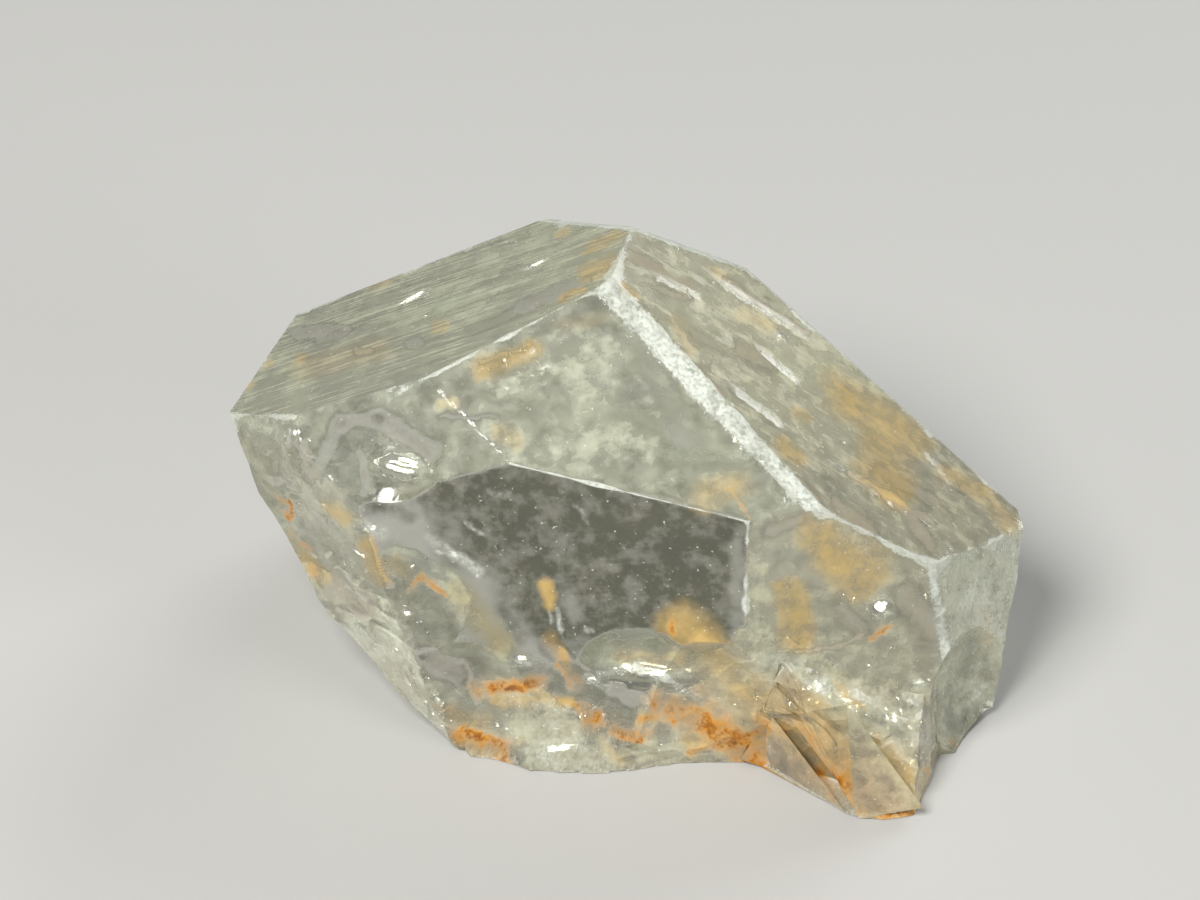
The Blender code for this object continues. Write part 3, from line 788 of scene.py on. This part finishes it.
RUST_MARKS = [
    # hairline cracks of the left break, and the wedge beside the window
    (277, 496, 290, 502, 0.11, 1.0), (290, 502, 293, 517, 0.10, 1.0), (281, 509, 292, 520, 0.09, 0.9),
    (258, 508, 261, 516, 0.12, 0.9), (409, 592, 422, 576, 0.13, 1.1), (422, 576, 446, 595, 0.15, 1.0),
    (304, 543, 309, 548, 0.12, 0.9), (312, 566, 318, 575, 0.14, 0.8),
    # foot
    (492, 687, 530, 685, 0.26, 1.2), (464, 733, 478, 738, 0.30, 0.9), (474, 738, 498, 752, 0.34, 1.2),
    (496, 753, 512, 763, 0.13, 1.0), (437, 709, 446, 713, 0.16, 0.9), (578, 707, 593, 717, 0.24, 1.1),
    (584, 721, 603, 726, 0.12, 0.9), (613, 730, 640, 741, 0.20, 1.1), (677, 708, 716, 730, 0.42, 0.9),
    (688, 753, 722, 746, 0.18, 1.1), (722, 746, 760, 733, 0.14, 1.1), (670, 623, 672, 632, 0.13, 0.9),
    (555, 664, 572, 690, 0.10, 0.7), (640, 716, 654, 720, 0.12, 0.7),
    # crack in the right prism face
    (872, 639, 891, 625, 0.11, 1.1), (732, 488, 749, 519, 0.08, 0.7),
    # toe
    (735, 758, 776, 757, 0.20, 1.0), (783, 760, 826, 776, 0.30, 1.2), (802, 774, 854, 790, 0.24, 1.2),
    (850, 788, 893, 809, 0.32, 0.9), (776, 738, 780, 758, 0.14, 0.9), (936, 764, 939, 767, 0.13, 0.9),
    (820, 740, 850, 742, 0.10, 0.5), (926, 770, 934, 776, 0.10, 0.7), (760, 733, 778, 737, 0.14, 1.1),
    # broad films of stain on the foot and the toe
    (478, 688, 540, 684, 0.45, 0.5), (462, 736, 500, 750, 0.50, 0.5), (660, 705, 725, 735, 0.65, 0.5),
    (725, 745, 800, 765, 0.45, 0.6), (790, 765, 880, 800, 0.65, 0.55), (590, 715, 650, 735, 0.45, 0.35),
    (760, 720, 850, 750, 0.40, 0.35), (550, 640, 580, 690, 0.30, 0.35), (880, 790, 910, 810, 0.40, 0.4),
    (740, 752, 900, 812, 0.60, 0.55), (500, 760, 520, 745, 0.30, 0.3), (700, 690, 740, 740, 0.45, 0.4),
]


def add_mesh(name, points, faces):
    """Mesh object from points in mm, its place in its mesh."""
    mesh = bpy.data.meshes.new(name)
    mesh.from_pydata((points * MM).tolist(), [], faces)
    mesh.update()
    piece = bpy.data.objects.new(name, mesh)
    bpy.context.scene.collection.objects.link(piece)
    return piece


def settled(values):
    """Overlapping marks, added up, approach 1 ever more slowly: 1 - exp(-value)."""
    return 1.0 - np.exp(-values)


def noise_pair(points, cell, seed):
    """Two random fields of one size, side by side."""
    return np.stack((lattice_noise(points, cell, seed), lattice_noise(points, cell, seed + 1)), axis=1)


points, triangles, finish = crystal_surface()
points = np.clip(points, np.array(cad_box[0]) / MM, np.array(cad_box[1]) / MM)
crystal = add_mesh("goshenite", points, triangles.tolist())
crystal.data.shade_smooth()
crystal.data.set_sharp_from_angle(angle=math.radians(SHARP_ANGLE))
normals = np.zeros(3 * len(points), dtype=np.float32)
crystal.data.vertices.foreach_get("normal", normals)
facing = normals.reshape(-1, 3) @ BACK
wander = noise_pair(points, 0.5, 61) + 0.6 * noise_pair(points, 0.22, 63)
pixels = photo_place(points) + WANDER * wander
frost_and_painted_glints, milky, painted_dark, pale, ochre, rust = (
    marks(pixels, facing, rows)
    for rows in (FROST_AND_PAINTED_GLINT_MARKS, MILKY_MARKS, PAINTED_SHADE_MARKS, PALE_MARKS, OCHRE_MARKS, RUST_MARKS))
mottle = 1.0 + 0.22 * lattice_noise(points, 1.3, 71) + 0.18 * lattice_noise(points, 0.55, 72)
ragged = 1.1 * lattice_noise(points, 1.3, 81) + 0.8 * lattice_noise(points, 0.5, 82)
# painted shade: points at the table's height are painted near black
foot = np.clip(1.0 - points[:, 2] / CONTACT_SHADE_HEIGHT, 0.0, 1.0)
look = Finish(*finish.T)
# painted shade: the marks of painted shade, and the window's painted shade where the pale marks don't
# lift it
painted_dark = settled(1.5 * painted_dark + 3.2 * look.smoke * (1.0 - settled(1.6 * pale)))
layers = {
    # frost, with the painted highlights of the glint marks added
    "frost": look.frost * mottle + 0.35 * frost_and_painted_glints,
    "haze": look.haze * mottle * (1.0 - 0.9 * painted_dark) + 0.9 * milky,
    "painted_dark": np.maximum(painted_dark, foot),
    "ochre": settled(0.8 * look.rust * mottle + 2.0 * ochre + 0.8 * rust),
    "rust": settled(0.30 * look.rust + 1.6 * rust),
    "broken": np.clip(look.scallop / DEEPEST_SHELL, 0.0, 1.0),
    "lined": np.clip(0.10 + look.stria / DEEPEST_LINE, 0.0, 1.0),
    "edge": edge_distance(points) + ragged,
}
for name, values in layers.items():
    layer = crystal.data.attributes.new(name, "FLOAT", "POINT")
    layer.data.foreach_set("value", values.astype(np.float32))
streaks = crystal.data.attributes.new("streaks", "FLOAT_VECTOR", "POINT")
streaks.data.foreach_set("vector", streak_place(points).astype(np.float32).ravel())


class Recipe:
    """One material's nodes by short names. Each method adds a node, feeds it numbers, colours
    or other nodes' outputs, and gives its output."""

    def __init__(self, name):
        self.material = bpy.data.materials.new(name)
        self.material.use_nodes = True
        self.nodes = self.material.node_tree.nodes
        self.links = self.material.node_tree.links
        self.shader = self.nodes["Principled BSDF"]
        self.output = self.nodes["Material Output"]

    def put(self, socket, value):
        if isinstance(value, bpy.types.NodeSocket):
            self.links.new(value, socket)
        else:
            socket.default_value = value

    def add(self, kind, **inputs):
        """Node of a kind, its inputs fed by their names, with _ for a space."""
        node = self.nodes.new("ShaderNode" + kind)
        for name, value in inputs.items():
            self.put(node.inputs[name.replace("_", " ")], value)
        return node

    def shade(self, **values):
        """Plain values or outputs for the shader's own inputs."""
        for name, value in values.items():
            self.put(self.shader.inputs[name.replace("_", " ")], value)

    def attribute(self, name, output="Fac"):
        node = self.add("Attribute")
        node.attribute_name = name
        return node.outputs[output]

    def cells(self, vector, scale):
        return self.add("TexVoronoi", Vector=vector, Scale=scale).outputs["Distance"]

    def noise(self, vector, scale, detail, roughness=0.6):
        node = self.add("TexNoise", Vector=vector, Scale=scale, Detail=detail, Roughness=roughness)
        return node.outputs["Fac"]

    def ramp(self, value, low, high, start=0.0, end=1.0):
        node = self.add("MapRange")
        node.interpolation_type = "SMOOTHSTEP"
        for socket, item in zip(node.inputs, (value, low, high, start, end)):
            self.put(socket, item)
        return node.outputs["Result"]

    def math(self, operation, *values, clamp=False):
        node = self.add("Math")
        node.operation = operation
        node.use_clamp = clamp
        for socket, value in zip(node.inputs, values):
            self.put(socket, value)
        return node.outputs[0]

    def times(self, first, second, clamp=False):
        return self.math("MULTIPLY", first, second, clamp=clamp)

    def larger(self, first, second, clamp=False):
        return self.math("MAXIMUM", first, second, clamp=clamp)

    def scaled(self, value, factor, offset, clamp=False):
        """The value times the factor, plus the offset."""
        return self.math("MULTIPLY_ADD", value, factor, offset, clamp=clamp)

    def mix(self, amount, first, second):
        node = self.add("Mix")
        node.data_type = "RGBA"
        for index, value in ((0, amount), (6, first), (7, second)):
            self.put(node.inputs[index], value)
        return node.outputs[2]


BERYL_IOR = 1.58
ABSORBED = (0.81, 0.86, 0.70, 1.0)   # light left after a long way through the stone
ABSORB_DENSITY = 40.0
GRAIN, CLOUD, SHELLS = 7000.0, 1500.0, 1100.0   # forms to the metre
LINE_STRETCH = (0.24, 7.5, 1.0)      # growth lines: forms to the mm, along and across them
BUMP_HEIGHT = 0.12 * MM
CLEAR = (0.97, 0.97, 0.94, 1.0)
# near-black colour of the painted shade
PAINTED_SHADE_COLOUR = (0.045, 0.055, 0.042, 1.0)
GREY_MILK = (0.215, 0.243, 0.165, 1.0)
PALE_MILK = (0.89, 0.95, 0.76, 1.0)
FROST_GREY = (0.58, 0.63, 0.55, 1.0)
FROST_WHITE = (0.88, 0.92, 0.85, 1.0)
OCHRE = (0.76, 0.50, 0.14, 1.0)
ORANGE = (0.52, 0.215, 0.012, 1.0)
DARK_RUST = (0.22, 0.072, 0.006, 1.0)


def stone_material():
    """Clear beryl: see-through where it is clean, milky in streaks and clouds, frosted on its worn edges,
    with painted highlights where it glints and painted shade where shade shows through it, rippled like
    broken glass where it is broken, and stained by iron."""
    r = Recipe("beryl")
    place = r.add("TexCoord").outputs["Object"]
    grain = r.noise(place, GRAIN, 1.0)
    cloud = r.noise(place, CLOUD, 3.0)
    stretched = r.add("Mapping", Vector=r.attribute("streaks", "Vector"), Scale=LINE_STRETCH)
    lines = r.noise(stretched.outputs["Vector"], 1.0, 1.5)
    shells = r.math("POWER", r.cells(place, SHELLS), 2.0)
    breakup = r.scaled(grain, 0.4, cloud)
    broken, lined = r.attribute("broken"), r.attribute("lined")

    # Where each finish lies: its layer, broken up by the grain, the clouds, the growth lines
    # or the shells of the broken faces
    # The frost layer carries the painted highlights too.
    edge_frost = r.ramp(r.scaled(breakup, 2.2, r.attribute("edge")), 3.1, 2.0)
    frost_here = r.times(r.attribute("frost"), r.ramp(breakup, 0.50, 0.90, 0.70, 1.20))
    frost_here = r.scaled(r.ramp(grain, 0.70, 0.80), 0.5, frost_here)
    frost = r.larger(r.times(edge_frost, 0.8), frost_here, clamp=True)
    pattern = r.scaled(lined, r.math("SUBTRACT", lines, 0.5), 1.0)
    pattern = r.scaled(r.math("SUBTRACT", cloud, 0.5), r.scaled(lined, -0.7, 1.0), pattern)
    pattern = r.scaled(broken, r.times(shells, 0.35), pattern)
    haze = r.times(r.attribute("haze"), r.ramp(pattern, 0.75, 1.25, 0.45, 1.35), clamp=True)
    ochre = r.times(r.attribute("ochre"), r.ramp(pattern, 0.75, 1.25, 0.70, 1.10), clamp=True)
    spread = r.times(r.attribute("rust"), r.ramp(breakup, 0.50, 0.95, 0.55, 1.25))
    film = r.times(r.attribute("rust"), r.ramp(breakup, 0.50, 0.95, 0.65, 1.20))
    rust = r.ramp(r.times(film, r.scaled(shells, 1.1, 0.65)), 0.12, 0.95)
    # painted shade: a near-black, nearly opaque layer
    painted_dark = r.times(r.attribute("painted_dark"), r.ramp(pattern, 0.75, 1.30, 1.12, 0.88), clamp=True)

    colour = r.mix(haze, CLEAR, r.mix(r.ramp(pattern, 0.68, 1.34), GREY_MILK, PALE_MILK))
    colour = r.mix(painted_dark, colour, PAINTED_SHADE_COLOUR)
    colour = r.mix(ochre, colour, OCHRE)
    colour = r.mix(frost, colour, r.mix(r.ramp(grain, 0.30, 0.62), FROST_GREY, FROST_WHITE))
    colour = r.mix(rust, colour, r.mix(r.ramp(spread, 0.50, 1.15), ORANGE, DARK_RUST))

    # How much of the light each finish stops, and how much it scatters what passes
    cover = r.scaled(ochre, 0.20, r.times(haze, 0.42))
    cover = r.larger(cover, r.times(frost, 0.70))
    cover = r.larger(cover, r.times(painted_dark, 0.97))
    cover = r.scaled(rust, 0.58, cover, clamp=True)
    rough = r.larger(r.times(frost, 0.45), r.times(haze, 0.24))

    height = r.times(r.times(lines, lined), 0.06)
    height = r.scaled(shells, broken, height)
    height = r.scaled(grain, r.scaled(r.attribute("frost"), 0.20, 0.012), height)
    bump = r.add("Bump", Distance=BUMP_HEIGHT, Height=height)
    r.shade(Base_Color=colour, Transmission_Weight=r.math("SUBTRACT", 1.0, cover),
             Roughness=r.math("ADD", rough, 0.015), IOR=BERYL_IOR, Normal=bump.outputs["Normal"])
    absorb = r.add("VolumeAbsorption", Color=ABSORBED, Density=ABSORB_DENSITY)
    r.links.new(absorb.outputs["Volume"], r.output.inputs["Volume"])
    return r.material


crystal.data.materials.append(stone_material())
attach(crystal, "root")
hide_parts("goshenite_crystal")

# Cracks inside the stone: air-filled, shell-shaped gaps a few hundredths of a millimetre
# thick, left where it was knocked. They lie close under the broken parts, and flash white
# where they mirror the light above.
CRACK_GAP = 0.03             # mm at the middle of a crack
KEY_PLACE = np.array((-110.0, -130.0, 230.0))   # mm, the lamp that the cracks mirror

# Each crack: pixel where it is seen, mm under the surface along the line of sight, half-length
# and half-width in mm, its turn in degrees, its tilt in degrees about X and Y from the way
# that mirrors the lamp, how deep its bowl is in mm
CRACKS = {
    "arc": ((650, 680), 1.8, 1.75, 0.75, -14.0, (0.0, 0.0), 0.16),
    "arc_side": ((596, 683), 1.2, 0.48, 0.22, -20.0, (0.0, 0.0), 0.06),
    "foot_spark": ((520, 661), 1.5, 0.32, 0.22, 0.0, (0.0, 0.0), 0.05),
    "streak": ((452, 555), 1.6, 1.00, 0.26, -30.0, (0.0, 0.0), 0.10),
    "spike": ((559, 622), 1.2, 0.42, 0.12, 80.0, (0.0, 0.0), 0.03),
    "diamond": ((881, 606), 1.0, 0.50, 0.42, -40.0, (0.0, 0.0), 0.08),
    "toe_spark": ((816, 686), 1.2, 0.42, 0.24, 0.0, (0.0, 0.0), 0.06),
    "end_spark": ((918, 684), 1.0, 0.34, 0.24, 0.0, (0.0, 0.0), 0.06),
    "toe_streak": ((852, 703), 1.1, 0.80, 0.12, -40.0, (0.0, 0.0), 0.05),
    "toe_streak_low": ((840, 742), 1.3, 0.60, 0.16, -20.0, (0.0, 0.0), 0.05),
    "end_spark_low": ((911, 700), 1.0, 0.20, 0.12, -20.0, (0.0, 0.0), 0.03),
    "lobe": ((560, 748), 0.9, 0.85, 0.32, 0.0, (0.0, 0.0), 0.08),
    "lens": ((402, 466), 0.9, 1.00, 0.55, -20.0, (0.0, 0.0), 0.14),
    "shard": ((366, 528), 0.9, 0.42, 0.24, 0.0, (0.0, 0.0), 0.06),
    "right_spark": ((782, 336), 1.0, 0.25, 0.20, -35.0, (0.0, 0.0), 0.05),
    "left_streak": ((412, 297), 1.0, 0.55, 0.14, 20.0, (0.0, 0.0), 0.03),
    "left_streak_high": ((537, 263), 1.0, 0.50, 0.12, 20.0, (0.0, 0.0), 0.03),
}


def bend_in(ray, normal):
    """Direction of a ray after it enters the stone, by Snell's law; the normal points back at
    where it comes from."""
    cosine = -(ray @ normal)
    ratio = 1.0 / BERYL_IOR
    inner_cosine = math.sqrt(1.0 - ratio ** 2 * (1.0 - cosine ** 2))
    return ratio * ray + (ratio * cosine - inner_cosine) * normal


def seen_inside(pixel, depth):
    """Point a depth inside the stone that the camera sees at a pixel, and the sight line's
    direction there: the line meets the nearest of the three hulls, and bends on entering. None
    where the line misses the stone."""
    start, ray = sight_line(pixel)
    start = start - HEART
    nearest, entry = FAR, None
    for hull in HULLS:
        slope = hull.normals @ ray
        cross = (hull.distances - hull.normals @ start) / np.where(np.abs(slope) < 1e-9, 1e-9, slope)
        enter = np.where(slope < 0.0, cross, -FAR)
        leave = np.where(slope > 0.0, cross, FAR)
        if enter.max() < leave.min() and enter.max() < nearest:
            nearest, entry = enter.max(), hull.normals[enter.argmax()]
    if entry is None:
        return None
    inner = bend_in(ray, entry)
    return start + ray * nearest + inner * depth + HEART, inner


def covered(point, margin):
    """Whether the crystal's surface is more than the margin away along each axis, both ways,
    and is seen there from inside."""
    for way in np.concatenate((np.eye(3), -np.eye(3))):
        hit, spot, normal, _ = crystal.ray_cast((point * MM).tolist(), way.tolist())
        if not hit or normal @ Vector(way) <= 0.0 or (spot - Vector(point * MM)).length < margin * MM:
            return False
    return True


def lamp_seen(point):
    """Direction inside the stone, from a point in it, that leads to the lamp: of the faces
    turned to the lamp, the one whose bent ray leaves the stone through that same face."""
    away = KEY_PLACE - point
    away = away / np.linalg.norm(away)
    found, best = direction(180.0, 80.0), 0.0
    for hull in HULLS:
        room = hull.distances - hull.normals @ (point - HEART)
        if room.min() < 0.0:
            continue
        for index in np.nonzero(hull.normals @ away > 0.1)[0]:
            facing_lamp = hull.normals[index] @ away
            outward = -bend_in(-away, hull.normals[index])
            slope = hull.normals @ outward
            leave = np.where(slope > 1e-6, room / np.maximum(slope, 1e-6), FAR)
            if leave.argmin() == index and facing_lamp > best:
                found, best = outward, facing_lamp
    return found


def mirror_normal(centre, inner, tilt=(0.0, 0.0)):
    """Normal of a crack that mirrors the lamp to the camera, tilted by degrees about X and Y."""
    normal = lamp_seen(centre) - inner
    aside = np.array((math.radians(tilt[1]), math.radians(tilt[0]), 0.0))
    normal = normal / np.linalg.norm(normal) + aside
    return normal / np.linalg.norm(normal)


def crack_surface(centre, normal, half_length, half_width, turn, bowl, seed, rings=20, spokes=48):
    """Closed gap between two sheets that meet at their rim. On the sheets' grid of rings and
    spokes, a point is a share of the rim's distance out; the height is the bowl's depth times
    that share squared, plus fine ripples, plus or minus half the gap, which thins to nothing
    at the rim. The rim is an ellipse with a few random waves."""
    dice = np.random.default_rng(seed)
    side = np.cross(normal, (0.0, 1.0, 0.0))
    side = side / np.linalg.norm(side)
    along = side * math.cos(turn) + np.cross(normal, side) * math.sin(turn)
    across = np.cross(normal, along)
    spoke = np.linspace(0.0, 2.0 * np.pi, spokes, endpoint=False)
    waves = [dice.uniform(0.02, 0.10) * np.cos(k * spoke + dice.uniform(0.0, 6.3)) for k in (2, 3, 5, 7)]
    rim = 1.0 + sum(waves)
    share = np.linspace(0.0, 1.0, rings + 1)[1:, None]
    x = half_length * share * rim * np.cos(spoke)
    y = half_width * share * rim * np.sin(spoke)
    ripple = 0.012 * np.sin(9.0 * share * rim + dice.uniform(0.0, 6.3)) * half_width
    ripple = ripple + 0.010 * np.sin(11.0 * y / half_width + 3.0 * x / half_length) * half_width
    height = bowl * (share * rim) ** 2 + ripple
    gap = 0.5 * min(CRACK_GAP, 0.2 * half_width) * (1.0 - share ** 2)
    flat = centre + x[..., None] * along + y[..., None] * across
    upper = flat + (height + gap)[..., None] * normal
    lower = flat + (height - gap)[..., None] * normal
    middle = centre + ripple[0].mean() * normal
    points = np.concatenate((upper.reshape(-1, 3), lower[:-1].reshape(-1, 3),
                             [middle + gap.max() * normal, middle - gap.max() * normal]))
    count = rings * spokes
    top = np.arange(count).reshape(rings, spokes)
    bottom = np.concatenate((top[:-1] + count, top[-1:]))
    faces = []
    for sheet, hub in ((top, len(points) - 2), (bottom, len(points) - 1)):
        after = np.roll(sheet, -1, axis=1)
        quads = np.stack((sheet[:-1], sheet[1:], after[1:], after[:-1]), axis=-1).reshape(-1, 4)
        fan = np.stack((np.full(spokes, hub), sheet[0], after[0]), axis=-1)
        if sheet is bottom:
            quads, fan = quads[:, ::-1], fan[:, ::-1]
        faces += quads.tolist() + fan.tolist()
    return points, faces


def crack_material():
    """An air gap mirrors all light that meets it aslant, so it is plain bright and mirror-like."""
    r = Recipe("air gap")
    r.shade(Base_Color=CLEAR, Metallic=1.0, Roughness=0.10)
    return r.material


def add_cracks(name, sheets):
    """One piece made of closed cracks, each given as its points and faces."""
    points, faces = [], []
    for sheet_points, sheet_faces in sheets:
        start = sum(len(part) for part in points)
        points.append(sheet_points)
        faces += [[corner + start for corner in face] for face in sheet_faces]
    piece = add_mesh(name, np.concatenate(points), faces)
    piece.data.shade_smooth()
    piece.data.materials.append(air_gap)
    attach(piece, "root")


air_gap = crack_material()
for seed, (name, row) in enumerate(CRACKS.items()):
    pixel, depth, half_length, half_width, turn, tilt, bowl = row
    centre, inner = seen_inside(pixel, depth)
    sheet = crack_surface(centre, mirror_normal(centre, inner, tilt), half_length, half_width,
                          math.radians(turn), bowl, seed)
    add_cracks("crack_" + name, [sheet])

# Flakes inside the stone: tiny cracks of the same kind that sparkle along the broken foot, the
# toe, the ends and the stained bands. They are air gaps too, strewn as thickly as the photo
# shows them. Each field: pixel box, how many, longest half-length in mm.
FLAKE_FIELDS = {
    "foot": ((430, 700, 740, 770), 120, 0.22),
    "window's foot": ((560, 650, 720, 700), 24, 0.18),
    "toe": ((760, 680, 930, 800), 170, 0.28),
    "right prism face": ((840, 580, 960, 690), 26, 0.14),
    "left break": ((330, 540, 430, 690), 30, 0.20),
    "window": ((400, 500, 520, 660), 22, 0.16),
    "left tip": ((250, 420, 340, 520), 14, 0.14),
    "right pyramid face": ((720, 300, 900, 480), 40, 0.12),
    "left pyramid face": ((330, 240, 580, 330), 24, 0.12),
}
FLAKE_SEED = 5
FIRST_FLAKE = 100            # seed of the first flake's rim
FLAKE_COVER = 0.20           # mm of stone on every side of a flake, besides its own length
FLAKE_DEPTH = (0.75, 1.8)    # mm under the surface along the line of sight
FLAKE_TILT = 5.0             # degrees, the spread of their tilts
FLAKE_GRID = (3, 14)         # rings and spokes

bpy.context.view_layer.update()
flake_dice = np.random.default_rng(FLAKE_SEED)
flakes = []
for (x_1, y_1, x_2, y_2), count, longest in FLAKE_FIELDS.values():
    for number in range(count):
        pixel = (flake_dice.uniform(x_1, x_2), flake_dice.uniform(y_1, y_2))
        seen = seen_inside(pixel, flake_dice.uniform(*FLAKE_DEPTH))
        size = longest * flake_dice.uniform(0.25, 1.0) ** 2
        if seen is None or not covered(seen[0], FLAKE_COVER + size):
            continue
        centre, inner = seen
        normal = mirror_normal(centre, inner, flake_dice.normal(0.0, FLAKE_TILT, 2))
        width = size * flake_dice.uniform(0.25, 0.8)
        turn = flake_dice.uniform(0.0, 3.1)
        seed = FIRST_FLAKE + len(flakes)
        flakes.append(crack_surface(centre, normal, size, width, turn, 0.1 * size, seed, *FLAKE_GRID))
add_cracks("flakes", flakes)

# The table is a plain pale board, much larger than the stone, under a soft studio light.
TABLE_SIZE = 1200.0   # mm
TABLE_GAP = 0.03      # mm under the stone, which rests on its high points
TABLE_COLOUR = (0.47, 0.47, 0.457, 1.0)
STUDIO_COLOUR = (0.17, 0.172, 0.168, 1.0)

# Lamps: place and size in mm, power in watts, colour
LAMPS = {
    "key": (tuple(KEY_PLACE), 150.0, 1.02, (1.0, 0.98, 0.95)),
    "rim": ((150.0, 200.0, 170.0), 160.0, 0.36, (0.96, 0.98, 1.0)),
    "fill": ((230.0, -160.0, 90.0), 140.0, 0.30, (1.0, 0.99, 0.97)),
}


def add_table():
    """Flat square just under the crystal's base."""
    half = 0.5 * TABLE_SIZE
    sides = ((-half, -half), (half, -half), (half, half), (-half, half))
    table = add_mesh("table", np.array([(x, y, -TABLE_GAP) for x, y in sides]), [(0, 1, 2, 3)])
    r = Recipe("pale board")
    r.shade(Base_Color=TABLE_COLOUR, Roughness=0.7)
    table.data.materials.append(r.material)


def add_lamp(name, place, size, power, colour):
    """Round soft lamp, turned to the middle of the stone."""
    data = bpy.data.lights.new(name, "AREA")
    data.shape = "DISK"
    data.size = size * MM
    data.energy = power
    data.color = colour
    lamp = bpy.data.objects.new(name, data)
    bpy.context.scene.collection.objects.link(lamp)
    lamp.location = Vector(place) * MM
    lamp.rotation_euler = (Vector(place) - Vector(HEART)).to_track_quat("Z", "Y").to_euler()


add_table()
for name, row in LAMPS.items():
    add_lamp(name, *row)
world = bpy.data.worlds.new("studio")
bpy.context.scene.world = world
world.use_nodes = True
world.node_tree.nodes["Background"].inputs["Color"].default_value = STUDIO_COLOUR
scene = bpy.context.scene
scene.view_settings.view_transform = "Standard"
scene.cycles.max_bounces = 12
scene.cycles.transmission_bounces = 12
scene.cycles.diffuse_bounces = 3
